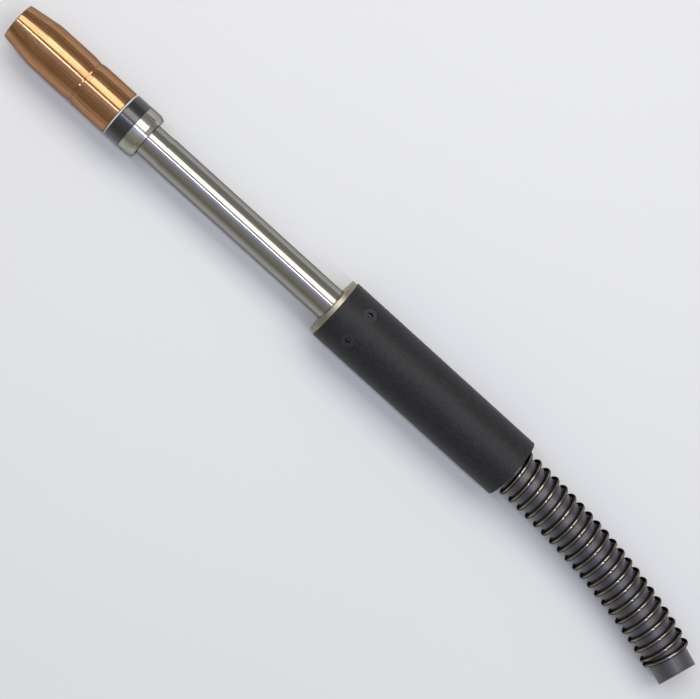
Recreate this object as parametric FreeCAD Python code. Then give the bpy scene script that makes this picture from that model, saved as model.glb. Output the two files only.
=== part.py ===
import FreeCAD, Part
import math
import os

# Straight, air-cooled MIG welding torch for a machine clamp, with the stub of its power cable.
# Millimetres. +X points to the nozzle's mouth and +Z up. The origin is the middle of the handle, on the
# torch's axis. The torch lies on its handle and on the spring round its cable.

V = FreeCAD.Vector
AXIS = V(1, 0, 0)

# Gaps between pieces that seat on each other, and the roundings of edges
seat_gap = 0.05
running_gap = 0.05
end_gap = 0.3
fine_edge = 0.2
plain_edge = 0.4
soft_edge = 0.8
cut_margin = 1.0

# Wire way and gas way through the torch
wire_bore_diameter = 1.4
liner_bore_diameter = 2.4
liner_wall = 1.15
torch_gas_gap = 1.55
conductor_wall = 2.45
insulation_wall = 2.05
barrel_wall = 1.5
neck_step = 0.3

# Power cable, from the middle out, and the spring round it. Its cut end leans back at the top
cable_gas_gap = 0.85
conduit_wall = 1.0
layer_gap = 0.1
strand_layer = 3.9
jacket_wall = 3.6
spring_slack = 0.5
spring_wire = 2.5
spring_room = 1.05
cut_lean = 15.0

# Handle and the bushing that closes its front
handle_length = 134.4
handle_wall = 3.1
handle_edge = 0.6
flange_step = 0.75
flange_thickness = 3.0
flange_edge = 0.4
barrel_in_bushing = 20.0
bushing_lip = 2.0

# Handle screws: M5 with countersunk heads, side by side on the upper side
screw_from_front = 16.0
screw_angles = (-33.0, 27.0)
screw_shank_diameter = 5.0
screw_head_diameter = 9.4
screw_socket_width = 3.0
screw_socket_depth = 2.0
screw_tip_to_barrel = 0.85

# Barrel, neck and collar
barrel_length = 125.7
neck_length = 12.05
swage_length = 1.2
collar_length = 9.8
collar_wall = 4.75
collar_bevel_length = 2.8
collar_bevel_depth = 1.1
collar_round = 0.25

# Insulator with its ring behind the nozzle and its spigot inside it
ring_length = 9.95
ring_wall = 4.75
ring_edge = 0.8
neck_in_insulator = 7.6
spigot_wall = 1.7
spigot_length = 20.0
clip_from_ring = 12.0
clip_wire = 1.1
clip_opening = 40.0

# Nozzle and the pale sleeve in it
sleeve_wall = 1.3
sleeve_show = 1.0
sleeve_rim_step = 0.5
nozzle_wall = 1.45
nozzle_length = 75.45
nozzle_taper_length = 20.0
nozzle_mouth_step = 3.0
nozzle_mouth_wall = 1.8
nozzle_mouth_edge = 0.6
crimp_from_rear = 26.15
crimp_depth = 0.9
crimp_behind = 3.6
crimp_ahead = 5.3

# Gas diffuser and contact tip
diffuser_shank_length = 8.0
diffuser_head_length = 23.8
diffuser_lip = 0.7
conductor_past_shank = 1.8
gas_hole_diameter = 2.5
gas_hole_count = 8
chamber_step = 0.3
tip_thread_diameter = 7.9
tip_thread_length = 9.7
tip_body_diameter = 9.8
tip_reach = 26.5
tip_nose_length = 9.0
tip_nose_diameter = 6.4
tip_flat_width = 8.6
tip_flat_length = 6.0
tip_flat_start = 1.5

# Power block, stud and ferrule, counted from the rear
spring_recess = 7.0
cable_bushing_length = 14.0
jacket_inset = 1.0
ferrule_to_bushing = 1.0
ferrule_length = 16.0
ferrule_wall = 1.9
ferrule_press = 0.4
stud_hex_length = 6.0
stud_hex_wall = 4.0
stud_washer_thickness = 1.0
stud_thread_diameter = 16.1
stud_thread_length = 12.0
stud_end_room = 1.0
block_web = 10.0
block_socket = 12.0
block_rim_length = 13.0
block_body_wall = 4.9
block_flat_depth = 1.5
set_screw_diameter = 4.0
set_screw_socket_width = 2.0
set_screw_length = 7.0
coupler_end_room = 0.5
coupler_flute_width = 1.6

# Spring along the cable. It leaves its straight tang at an angle that counts from the side away from
# the cable's bend, over the top, and its last turn is closed
coil_turns = 21.36
coil_first_angle = 110.0
cable_bare_end = 13.3
closing_turns = 0.53
closed_turns = 0.17
closed_gap = 0.8
tang_bend_radius = 3.6
tang_straight = 0.4
tang_depth = 4.0

# Route of the cable behind the handle: back, to the side and up from the middle of the handle's end
cable_route = (
    (1.2, 0.0, 0.0),
    (24.0, 0.78, -0.93),
    (49.0, 2.5, -2.15),
    (75.2, 5.45, -3.25),
    (101.2, 9.95, -3.95),
    (127.0, 15.6, -4.12),
    (150.9, 23.6, -4.12),
)

# Radii that follow from the walls and gaps
liner_r = liner_bore_diameter / 2 + liner_wall
conductor_bore_r = liner_r + torch_gas_gap
conductor_r = conductor_bore_r + conductor_wall
insulation_r = conductor_r + seat_gap + insulation_wall
barrel_bore_r = insulation_r + seat_gap
barrel_r = barrel_bore_r + barrel_wall
neck_r = barrel_r - neck_step
neck_seat_r = neck_r + seat_gap
collar_r = neck_seat_r + collar_wall
ring_r = neck_seat_r + ring_wall
spigot_r = neck_seat_r + spigot_wall
sleeve_bore_r = spigot_r + running_gap
sleeve_r = sleeve_bore_r + sleeve_wall
nozzle_bore_r = sleeve_r + seat_gap
nozzle_r = nozzle_bore_r + nozzle_wall
conduit_bore_r = liner_r + cable_gas_gap
conduit_r = conduit_bore_r + conduit_wall
strand_bore_r = conduit_r + layer_gap
strand_r = strand_bore_r + strand_layer
jacket_bore_r = strand_r + layer_gap
jacket_r = jacket_bore_r + jacket_wall
coil_r = jacket_r + spring_slack + spring_wire / 2
handle_bore_r = coil_r + spring_wire / 2 + spring_room
handle_r = handle_bore_r + handle_wall
inside_handle_r = handle_bore_r - seat_gap
flange_r = handle_r - flange_step
stud_r = stud_thread_diameter / 2
block_body_r = stud_r + seat_gap + block_body_wall

# Places along the axis, from the handle forwards
x_handle_front = handle_length / 2
x_handle_rear = -handle_length / 2
x_flange_front = x_handle_front + flange_thickness
x_barrel_rear = x_handle_front - barrel_in_bushing
x_bushing_rear = x_barrel_rear - bushing_lip
x_screws = x_handle_front - screw_from_front
x_swage = x_flange_front + barrel_length
x_collar_rear = x_swage + neck_length
x_collar_front = x_collar_rear + collar_length
x_ring_front = x_collar_front + ring_length
x_neck_front = x_collar_front + neck_in_insulator
x_spigot_front = x_ring_front + spigot_length
x_clip = x_ring_front + clip_from_ring
x_nozzle_rear = x_ring_front + sleeve_show
x_crimp = x_nozzle_rear + crimp_from_rear
x_mouth = x_nozzle_rear + nozzle_length
x_taper = x_mouth - nozzle_taper_length
x_diffuser_rear = x_spigot_front - diffuser_shank_length
x_diffuser_front = x_spigot_front + diffuser_head_length
x_conductor_front = x_spigot_front + conductor_past_shank
x_tip_shoulder = x_diffuser_front + seat_gap
x_tip_rear = x_tip_shoulder - tip_thread_length
x_tip_front = x_tip_shoulder + tip_reach
x_thread_end = x_tip_rear - end_gap

# Places along the axis, from the handle's rear end forwards
x_cable_bushing_rear = x_handle_rear + spring_recess
x_cable_bushing_front = x_cable_bushing_rear + cable_bushing_length
x_jacket_front = x_cable_bushing_front - jacket_inset
x_ferrule_rear = x_cable_bushing_front + ferrule_to_bushing
x_ferrule_front = x_ferrule_rear + ferrule_length
x_hex_rear = x_ferrule_front + seat_gap
x_hex_front = x_hex_rear + stud_hex_length
x_block_rear = x_hex_front + stud_washer_thickness
x_stud_front = x_block_rear + stud_thread_length
x_socket_front = x_stud_front + stud_end_room
x_conductor_rear = x_socket_front + block_web
x_block_front = x_conductor_rear + block_socket
x_rim_rear = x_block_front - block_rim_length
x_liners_meet = x_socket_front + block_web / 2


def rounded_wire(corners):
    """Closed outline in the XY plane through (x, y) or (x, y, rounding) corners."""
    count = len(corners)
    trims = []
    for i in range(count):
        corner = V(corners[i][0], corners[i][1], 0)
        to_last = V(corners[i - 1][0], corners[i - 1][1], 0) - corner
        to_next = V(corners[(i + 1) % count][0], corners[(i + 1) % count][1], 0) - corner
        rounding = corners[i][2] if len(corners[i]) > 2 else 0
        if rounding == 0:
            trims.append((corner, None, corner))
            continue
        half = to_last.getAngle(to_next) / 2
        trim = min(rounding / math.tan(half), 0.49 * to_last.Length, 0.49 * to_next.Length)
        radius = trim * math.tan(half)
        to_last.normalize()
        to_next.normalize()
        middle = corner + (to_last + to_next).normalize() * (radius / math.sin(half) - radius)
        trims.append((corner + to_last * trim, middle, corner + to_next * trim))
    edges = []
    for i in range(count):
        start, middle, end = trims[i]
        if middle is not None:
            edges.append(Part.Arc(start, middle, end).toShape())
        edges.append(Part.LineSegment(end, trims[(i + 1) % count][0]).toShape())
    return Part.Wire(edges)


def turned(corners):
    """Ring-shaped solid about the X axis from the (x, radius, rounding) corners of its section."""
    return Part.Face(rounded_wire(corners)).revolve(V(0, 0, 0), AXIS, 360)


def tube(x_from, x_to, bore_r, outer_r, rounding=fine_edge):
    """Plain tube about the X axis with slightly broken outer edges."""
    return turned([(x_from, bore_r), (x_from, outer_r, rounding), (x_to, outer_r, rounding), (x_to, bore_r)])


def hexagon(x_from, x_to, width):
    """Hexagonal bar about the X axis, measured across its flats, with a flat on top."""
    corner_r = width / math.sqrt(3)
    corners = [math.radians(60 * i) for i in range(6)]
    points = [V(x_from, corner_r * math.cos(angle), corner_r * math.sin(angle)) for angle in corners]
    return Part.Face(Part.makePolygon(points + points[:1])).extrude(V(x_to - x_from, 0, 0))


def spin(shape, angle):
    """Copy of a shape turned about the X axis, by an angle in degrees."""
    copy = shape.copy()
    copy.rotate(V(0, 0, 0), AXIS, angle)
    return copy


def radial(shape, x, angle):
    """Moves a shape made along +Z to x, and leans it from +Z towards +Y by an angle in degrees."""
    copy = spin(shape, -angle)
    copy.translate(V(x, 0, 0))
    return copy


def socket_bar(width, depth, top):
    """Hexagonal bar along Z that ends at the height top, for the socket of a screw."""
    corner_r = width / math.sqrt(3)
    corners = [math.radians(60 * i) for i in range(6)]
    points = [V(corner_r * math.cos(angle), corner_r * math.sin(angle), top - depth) for angle in corners]
    return Part.Face(Part.makePolygon(points + points[:1])).extrude(V(0, 0, depth))


# Handle screws

screw_head_r = screw_head_diameter / 2
screw_shank_r = screw_shank_diameter / 2
screw_head_height = screw_head_r - screw_shank_r
screw_top = math.sqrt(handle_r ** 2 - screw_head_r ** 2) - seat_gap
screw_bottom = barrel_r + screw_tip_to_barrel


def screw_form(gap, top, bottom):
    """Countersunk screw along Z, grown by a gap all round."""
    head_r = screw_head_r + gap
    shank_r = screw_shank_r + gap
    cone_top = screw_top
    cone_bottom = screw_top - screw_head_height
    head = Part.makeCone(shank_r, head_r, cone_top - cone_bottom, V(0, 0, cone_bottom))
    shank = Part.makeCylinder(shank_r, cone_bottom - bottom, V(0, 0, bottom))
    form = head.fuse(shank)
    if top > cone_top:
        form = form.fuse(Part.makeCylinder(head_r, top - cone_top, V(0, 0, cone_top)))
    return form.removeSplitter()


def handle_screws():
    screw = screw_form(0, screw_top, screw_bottom)
    screw = screw.cut(socket_bar(screw_socket_width, screw_socket_depth, screw_top))
    return Part.Compound([radial(screw, x_screws, angle) for angle in screw_angles])


def screw_holes():
    hole = screw_form(seat_gap, handle_r + cut_margin, screw_bottom - end_gap)
    return [radial(hole, x_screws, angle) for angle in screw_angles]


# Handle and front bushing

def handle():
    body = turned([
        (x_handle_rear, handle_bore_r, handle_edge),
        (x_handle_rear, handle_r, handle_edge),
        (x_handle_front, handle_r, handle_edge),
        (x_handle_front, handle_bore_r),
    ])
    return body.cut(screw_holes())


def front_bushing():
    bore_r = barrel_r + seat_gap
    body = turned([
        (x_bushing_rear, barrel_bore_r),
        (x_bushing_rear, inside_handle_r, soft_edge),
        (x_handle_front, inside_handle_r),
        (x_handle_front, flange_r, fine_edge),
        (x_flange_front, flange_r, flange_edge),
        (x_flange_front, bore_r, plain_edge),
        (x_barrel_rear, bore_r),
        (x_barrel_rear, barrel_bore_r),
    ])
    return body.cut(screw_holes())


# Barrel and the pieces in it

def barrel_tube():
    return turned([
        (x_barrel_rear, barrel_bore_r),
        (x_barrel_rear, barrel_r, fine_edge),
        (x_swage, barrel_r, plain_edge),
        (x_swage + swage_length, neck_r, plain_edge),
        (x_neck_front, neck_r, fine_edge),
        (x_neck_front, barrel_bore_r),
    ])


def barrel_collar():
    return turned([
        (x_collar_rear, neck_seat_r, plain_edge),
        (x_collar_rear, collar_r - collar_bevel_depth, collar_round),
        (x_collar_rear + collar_bevel_length, collar_r, collar_round),
        (x_collar_front, collar_r, fine_edge),
        (x_collar_front, neck_seat_r),
    ])


def barrel_insulation():
    return tube(x_block_front + seat_gap, x_diffuser_rear - seat_gap, conductor_r + seat_gap, insulation_r)


def conductor_tube():
    return tube(x_conductor_rear, x_conductor_front, conductor_bore_r, conductor_r)


def torch_liner():
    return tube(x_liners_meet + seat_gap, x_thread_end, liner_bore_diameter / 2, liner_r)


# Insulator, clip, nozzle and sleeve

groove_half = clip_wire / 2 + seat_gap
groove_r = spigot_r - clip_wire - seat_gap


def nozzle_insulator():
    x_step = x_neck_front + end_gap
    return turned([
        (x_collar_front, neck_seat_r),
        (x_collar_front, ring_r, fine_edge),
        (x_ring_front, ring_r, ring_edge),
        (x_ring_front, spigot_r),
        (x_clip - groove_half, spigot_r),
        (x_clip - groove_half, groove_r),
        (x_clip + groove_half, groove_r),
        (x_clip + groove_half, spigot_r),
        (x_spigot_front, spigot_r, plain_edge),
        (x_spigot_front, barrel_bore_r),
        (x_step, barrel_bore_r),
        (x_step, neck_seat_r),
    ])


def nozzle_clip():
    ring_mid_r = sleeve_bore_r - running_gap / 2 - clip_wire / 2
    section = Part.makeCircle(clip_wire / 2, V(x_clip, ring_mid_r, 0), V(0, 0, 1))
    ring = Part.Face(Part.Wire([section])).revolve(V(0, 0, 0), AXIS, 360 - clip_opening)
    return spin(ring, clip_opening / 2)


def nozzle_sleeve():
    x_rear = x_ring_front + seat_gap
    x_rim = x_nozzle_rear - seat_gap
    x_front = x_crimp - crimp_behind - seat_gap
    rim_r = nozzle_r - sleeve_rim_step
    return turned([
        (x_rear, sleeve_bore_r),
        (x_rear, rim_r, fine_edge),
        (x_rim, rim_r, fine_edge),
        (x_rim, sleeve_r),
        (x_front, sleeve_r, plain_edge),
        (x_front, sleeve_bore_r),
    ])


def nozzle():
    mouth_r = nozzle_r - nozzle_mouth_step
    mouth_bore_r = mouth_r - nozzle_mouth_wall
    return turned([
        (x_nozzle_rear, nozzle_bore_r),
        (x_nozzle_rear, nozzle_r, plain_edge),
        (x_crimp - crimp_behind, nozzle_r, nozzle_r),
        (x_crimp, nozzle_r - crimp_depth, plain_edge),
        (x_crimp + crimp_ahead, nozzle_r, 2 * nozzle_r),
        (x_taper, nozzle_r, nozzle_r),
        (x_mouth, mouth_r, nozzle_mouth_edge),
        (x_mouth, mouth_bore_r, fine_edge),
        (x_taper, nozzle_bore_r, nozzle_r),
        (x_crimp + crimp_ahead, nozzle_bore_r, 2 * nozzle_r),
        (x_crimp, nozzle_bore_r - crimp_depth, plain_edge),
        (x_crimp - crimp_behind, nozzle_bore_r, nozzle_r),
    ])


# Gas diffuser and contact tip

def gas_diffuser():
    shank_r = barrel_bore_r - seat_gap
    thread_r = tip_thread_diameter / 2 + running_gap
    chamber_r = thread_r + chamber_step
    socket_r = conductor_r + seat_gap
    body = turned([
        (x_diffuser_rear, socket_r),
        (x_diffuser_rear, shank_r, plain_edge),
        (x_spigot_front, shank_r),
        (x_spigot_front, shank_r + diffuser_lip, fine_edge),
        (x_diffuser_front, shank_r + diffuser_lip, soft_edge),
        (x_diffuser_front, thread_r, fine_edge),
        (x_thread_end, thread_r),
        (x_thread_end, chamber_r),
        (x_conductor_front, chamber_r),
        (x_conductor_front, socket_r),
    ])
    x_holes = (x_conductor_front + x_thread_end) / 2
    hole = Part.makeCylinder(gas_hole_diameter / 2, shank_r + diffuser_lip + cut_margin)
    holes = [radial(hole, x_holes, 360 / gas_hole_count * (i + 0.5)) for i in range(gas_hole_count)]
    return body.cut(holes)


def contact_tip():
    body_r = tip_body_diameter / 2
    bore_r = wire_bore_diameter / 2
    body = turned([
        (x_tip_rear, bore_r, fine_edge),
        (x_tip_rear, tip_thread_diameter / 2, plain_edge),
        (x_tip_shoulder, tip_thread_diameter / 2),
        (x_tip_shoulder, body_r, fine_edge),
        (x_tip_front - tip_nose_length, body_r, body_r),
        (x_tip_front, tip_nose_diameter / 2, plain_edge),
        (x_tip_front, bore_r, fine_edge),
    ])
    for side in (-1, 1):
        y_low = min(side * tip_flat_width / 2, side * tip_body_diameter)
        slab = Part.makeBox(tip_flat_length, tip_body_diameter - tip_flat_width / 2, 2 * tip_body_diameter,
                            V(x_tip_shoulder + tip_flat_start, y_low, -tip_body_diameter))
        body = body.cut(slab)
    return body


# Power block, stud, ferrule and the pieces that join the cable

def set_screw_form(gap, bottom, top):
    return Part.makeCylinder(set_screw_diameter / 2 + gap, top - bottom, V(0, 0, bottom))


x_set_screws = x_block_front - block_rim_length / 2
set_screw_bottom = conductor_r + seat_gap
set_screw_top = set_screw_bottom + set_screw_length


def power_block():
    body = turned([
        (x_block_rear, stud_r + seat_gap),
        (x_block_rear, block_body_r, plain_edge),
        (x_rim_rear, block_body_r),
        (x_rim_rear, inside_handle_r, plain_edge),
        (x_block_front, inside_handle_r, plain_edge),
        (x_block_front, conductor_r + seat_gap),
        (x_conductor_rear, conductor_r + seat_gap),
        (x_conductor_rear, conductor_bore_r),
        (x_socket_front, conductor_bore_r),
        (x_socket_front, stud_r + seat_gap),
    ])
    hole = set_screw_form(seat_gap, conductor_r, handle_r)
    body = body.cut([radial(hole, x_set_screws, 0), radial(hole, x_set_screws, 180)])
    flat = block_body_r - block_flat_depth
    for side in (-1, 1):
        slab = Part.makeBox(x_rim_rear - x_block_rear, block_flat_depth, 2 * block_body_r,
                            V(x_block_rear, min(side * flat, side * block_body_r), -block_body_r))
        body = body.cut(slab)
    return body


def block_set_screws():
    screw = set_screw_form(0, set_screw_bottom, set_screw_top)
    screw = screw.cut(socket_bar(set_screw_socket_width, set_screw_socket_width, set_screw_top))
    return Part.Compound([radial(screw, x_set_screws, 0), radial(screw, x_set_screws, 180)])


def liner_coupler():
    outer_r = conductor_bore_r - seat_gap
    x_rear = x_socket_front + coupler_end_room
    x_front = x_conductor_rear - coupler_end_room
    body = tube(x_rear, x_front, liner_r + seat_gap, outer_r)
    depth = (outer_r - liner_r) / 2
    flute = Part.makeBox(block_web, coupler_flute_width, outer_r,
                         V(x_socket_front, -coupler_flute_width / 2, outer_r - depth))
    return body.cut([spin(flute, angle) for angle in (0, 120, 240)])


def cable_stud():
    spigot_x = x_ferrule_rear
    body = tube(spigot_x, x_hex_rear + cut_margin, conduit_bore_r, conduit_r)
    thread = tube(x_hex_front - cut_margin, x_stud_front, conduit_bore_r, stud_r, soft_edge)
    hex_bar = hexagon(x_hex_rear, x_hex_front, 2 * (stud_r + stud_hex_wall))
    hex_bar = hex_bar.cut(Part.makeCylinder(conduit_bore_r, stud_hex_length, V(x_hex_rear, 0, 0), AXIS))
    return body.fuse([thread, hex_bar]).removeSplitter()


def stud_washer():
    return tube(x_hex_front, x_block_rear, stud_r + seat_gap, stud_r + stud_hex_wall)


def crimp_ferrule():
    inner_r = strand_r + seat_gap
    outer_r = inner_r + ferrule_wall
    pressed_r = outer_r - ferrule_press
    band = ferrule_length / 7
    corners = [(x_ferrule_rear, inner_r), (x_ferrule_rear, outer_r, plain_edge)]
    for i in (1, 3, 5):
        corners.append((x_ferrule_rear + i * band, outer_r, plain_edge))
        corners.append((x_ferrule_rear + (i + 0.25) * band, pressed_r, plain_edge))
        corners.append((x_ferrule_rear + (i + 0.75) * band, pressed_r, plain_edge))
        corners.append((x_ferrule_rear + (i + 1) * band, outer_r, plain_edge))
    corners.append((x_ferrule_front, outer_r, plain_edge))
    corners.append((x_ferrule_front, inner_r))
    return turned(corners)


# Route of the cable: straight runs joined by tangent arcs

start = V(x_jacket_front, 0, 0)
route = [start] + [V(x_handle_rear - back, side, up) for back, side, up in cable_route]


def route_bends():
    """Start, middle and end of the arc at each inner point of the route, and its radius."""
    bends = []
    for i in range(1, len(route) - 1):
        run_in = route[i] - route[i - 1]
        run_out = route[i + 1] - route[i]
        half = run_in.getAngle(run_out) / 2
        trim = 0.45 * min(run_in.Length, run_out.Length)
        radius = trim / math.tan(half)
        run_in.normalize()
        run_out.normalize()
        inward = (run_out - run_in).normalize()
        middle = route[i] + inward * (radius / math.cos(half) - radius)
        bends.append((route[i] - run_in * trim, middle, route[i] + run_out * trim, radius))
    return bends


def route_edges(x_front, overrun=0):
    """Edges of the route from x_front on the axis to the cut end, or overrun past it."""
    last = V(x_front, 0, 0)
    edges = []
    for bend_start, middle, bend_end, radius in route_bends():
        edges.append(Part.LineSegment(last, bend_start).toShape())
        edges.append(Part.Arc(bend_start, middle, bend_end).toShape())
        last = bend_end
    final = route[-1] - route[-2]
    final.normalize()
    edges.append(Part.LineSegment(last, route[-1] + final * overrun).toShape())
    return edges


def swept(x_front, outer_r, overrun=0):
    """Round bar along the route."""
    ring = Part.Wire([Part.makeCircle(outer_r, V(x_front, 0, 0), AXIS)])
    return Part.Wire(route_edges(x_front, overrun)).makePipeShell([ring], True, False)


def past_the_cut():
    """Block behind the cable's cut end, whose face leans towards the handle at the top."""
    final = (route[-1] - route[-2]).normalize()
    up = (V(0, 0, 1) - final * final.z).normalize()
    lean = math.radians(cut_lean)
    facing = final * math.cos(lean) + up * math.sin(lean)
    size = 4 * jacket_r
    block = Part.makeBox(size, size, size, V(-size / 2, -size / 2, 0))
    block.Placement = FreeCAD.Placement(route[-1], FreeCAD.Rotation(V(0, 0, 1), facing))
    return block


def layer(name, x_front, bore_r, outer_r):
    """One tubular layer of the cable, with its volume set against section times length."""
    bore = swept(x_front + cut_margin, bore_r, jacket_r + cut_margin)
    solid = swept(x_front, outer_r, jacket_r).cut([bore, past_the_cut()])
    length = sum(edge.Length for edge in route_edges(x_front))
    expected = math.pi * (outer_r ** 2 - bore_r ** 2) * length
    print(name, "length", round(length, 1), "volume over section times length",
          round(solid.Volume / expected, 5))
    return solid


def cable_bushing():
    body = tube(x_cable_bushing_rear, x_cable_bushing_front, jacket_r + seat_gap, inside_handle_r, soft_edge)
    bottom = tang_ends()[0] + V(seat_gap, 0, 0)
    hole = Part.makeCylinder(spring_wire / 2 + seat_gap, tang_depth + cut_margin, bottom, V(-1, 0, 0))
    return body.cut(hole)


# Spring: its centreline winds round the route

spring_path = route_edges(x_jacket_front)
coil_round = 2 * math.pi * coil_r
coil_from = x_jacket_front - x_cable_bushing_rear + tang_straight + tang_bend_radius
coil_to = sum(piece.Length for piece in spring_path) - cable_bare_end
coil_pitch = (coil_to - coil_from - spring_wire - closed_gap) / (coil_turns - 1)
coil_lead = math.atan(coil_pitch / coil_round)


def along_route(distance):
    """Point and direction on the route, at a distance from the jacket's front end."""
    left = distance
    for edge in spring_path[:-1]:
        if left <= edge.Length:
            break
        left -= edge.Length
    else:
        edge = spring_path[-1]
    parameter = edge.getParameterByLength(left)
    return edge.valueAt(parameter), edge.tangentAt(parameter)


def smooth_step(value):
    value = min(max(value, 0), 1)
    return value * value * (3 - 2 * value)


def coil_distance(turn):
    """Distance of the coil along the route, with its last turn closed."""
    closing_start = coil_turns - closed_turns - closing_turns
    closed = smooth_step((turn - closing_start) / closing_turns)
    return coil_from + coil_pitch * turn - (coil_pitch - spring_wire - closed_gap) * closed


def coil_point(turn, distance):
    """Point on the spring's centreline, at a turn and a distance along the route."""
    middle, forward = along_route(distance)
    up = (V(0, 0, 1) - forward * forward.z).normalize()
    away = up.cross(forward)
    angle = 2 * math.pi * turn + math.radians(coil_first_angle)
    return middle + away * (coil_r * math.cos(angle)) + up * (coil_r * math.sin(angle))


def coil_station(turn):
    """Point and direction of the spring's wire at a turn."""
    step = 0.001
    ahead = coil_point(turn + step, coil_distance(turn + step))
    behind = coil_point(turn - step, coil_distance(turn - step))
    return coil_point(turn, coil_distance(turn)), (ahead - behind).normalize()


def tang_ends():
    """Ends of the straight tang that stands in the cable bushing, its free end first."""
    bend = math.pi / 2 - coil_lead
    bend_turn = tang_bend_radius * (1 - math.cos(bend)) / coil_round
    bend_back = tang_bend_radius * math.sin(bend)
    end = coil_point(-bend_turn, coil_from - bend_back)
    return V(x_cable_bushing_rear + tang_depth, end.y, end.z), end


def arc_from(point, direction, end):
    """Arc that leaves a point in a direction and reaches end."""
    chord = end - point
    along = chord * (1 / chord.Length)
    half = direction.getAngle(chord) / 2
    side = direction - along * direction.dot(along)
    if side.Length < 1e-9:
        return Part.LineSegment(point, end).toShape()
    middle = point + chord * 0.5 + side.normalize() * (chord.Length / 2 * math.tan(half))
    return Part.Arc(point, middle, end).toShape()


def biarc(point, direction, end, end_direction):
    """Two arcs that join two points and keep the directions there."""
    span = end - point
    total = direction + end_direction
    dot = span.dot(total)
    spread = 2 * (1 - direction.dot(end_direction))
    reach = (math.sqrt(dot * dot + spread * span.Length ** 2) - dot) / spread
    first = point + direction * reach
    second = end - end_direction * reach
    joint = (first + second) * 0.5
    return [arc_from(point, direction, joint), arc_from(joint, (second - first).normalize(), end)]


def spring_edges():
    tang_start, tang_end = tang_ends()
    edges = [Part.LineSegment(tang_start, tang_end).toShape()]
    count = math.ceil(coil_turns * 4)
    stations = [coil_station(coil_turns * i / count) for i in range(count + 1)]
    edges += biarc(tang_end, V(-1, 0, 0), stations[0][0], stations[0][1])
    for i in range(count):
        edges += biarc(stations[i][0], stations[i][1], stations[i + 1][0], stations[i + 1][1])
    last, direction = stations[-1]
    edges.append(Part.LineSegment(last, last + direction * spring_wire).toShape())
    return edges


def least_gap(edges):
    """Least gap of the wire to itself, measured on points a millimetre apart."""
    points = []
    travel = 0
    for edge in edges:
        count = max(1, round(edge.Length))
        for i in range(count):
            point = edge.valueAt(edge.getParameterByLength(edge.Length * i / count))
            points.append((point.x, point.y, point.z, travel + edge.Length * i / count))
        travel += edge.Length
    least = math.inf
    for i in range(len(points)):
        x, y, z, here = points[i]
        for other_x, other_y, other_z, there in points[i + 1:]:
            if there - here > 3 * spring_wire:
                least = min(least, (other_x - x) ** 2 + (other_y - y) ** 2 + (other_z - z) ** 2)
    return math.sqrt(least) - spring_wire


def strain_relief_spring():
    edges = spring_edges()
    length = sum(edge.Length for edge in edges)
    tightest = min(edge.Curve.Radius for edge in edges if hasattr(edge.Curve, "Radius"))
    print("spring wire length", round(length, 1), "tightest radius", round(tightest, 2),
          "least gap to itself", round(least_gap(edges), 2))
    tang_start, tang_end = tang_ends()
    section = Part.Wire([Part.makeCircle(spring_wire / 2, tang_start, AXIS)])
    shell = Part.BRepOffsetAPI.MakePipeShell(Part.Wire(edges))
    shell.add(section)
    shell.build()
    shell.makeSolid()
    solid = Part.Solid(shell.shape())
    expected = math.pi * (spring_wire / 2) ** 2 * length
    print("spring volume over section times length", round(solid.Volume / expected, 5))
    return solid


print("cable bend radii", [round(bend[3]) for bend in route_bends()], "at least", 5 * 2 * jacket_r)
parts = {
    "nozzle": nozzle(),
    "nozzle_sleeve": nozzle_sleeve(),
    "nozzle_clip": nozzle_clip(),
    "nozzle_insulator": nozzle_insulator(),
    "contact_tip": contact_tip(),
    "gas_diffuser": gas_diffuser(),
    "barrel_collar": barrel_collar(),
    "barrel_tube": barrel_tube(),
    "barrel_insulation": barrel_insulation(),
    "conductor_tube": conductor_tube(),
    "torch_liner": torch_liner(),
    "front_bushing": front_bushing(),
    "handle": handle(),
    "handle_screws": handle_screws(),
    "power_block": power_block(),
    "block_set_screws": block_set_screws(),
    "liner_coupler": liner_coupler(),
    "cable_stud": cable_stud(),
    "stud_washer": stud_washer(),
    "crimp_ferrule": crimp_ferrule(),
    "cable_bushing": cable_bushing(),
    "cable_jacket": layer("jacket", x_jacket_front, jacket_bore_r, jacket_r),
    "cable_strands": layer("strands", x_ferrule_front, strand_bore_r, strand_r),
    "gas_conduit": layer("conduit", x_ferrule_rear, conduit_bore_r, conduit_r),
    "cable_liner": layer("liner", x_liners_meet - seat_gap, liner_bore_diameter / 2, liner_r),
    "strain_relief_spring": strain_relief_spring(),
}

os.makedirs("parts", exist_ok=True)
for name, shape in parts.items():
    if not shape.isValid():
        print("not valid:", name)
    shape.exportStep("parts/" + name + ".step")
    box = shape.BoundBox
    print(name, len(shape.Solids), "solid,", round(shape.Volume), "mm3")
    print("  x", round(box.XMin, 2), round(box.XMax, 2), "y", round(box.YMin, 2), round(box.YMax, 2),
          "z", round(box.ZMin, 2), round(box.ZMax, 2))
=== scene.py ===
import math

import bmesh
import bpy
from mathutils import Matrix, Vector


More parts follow.
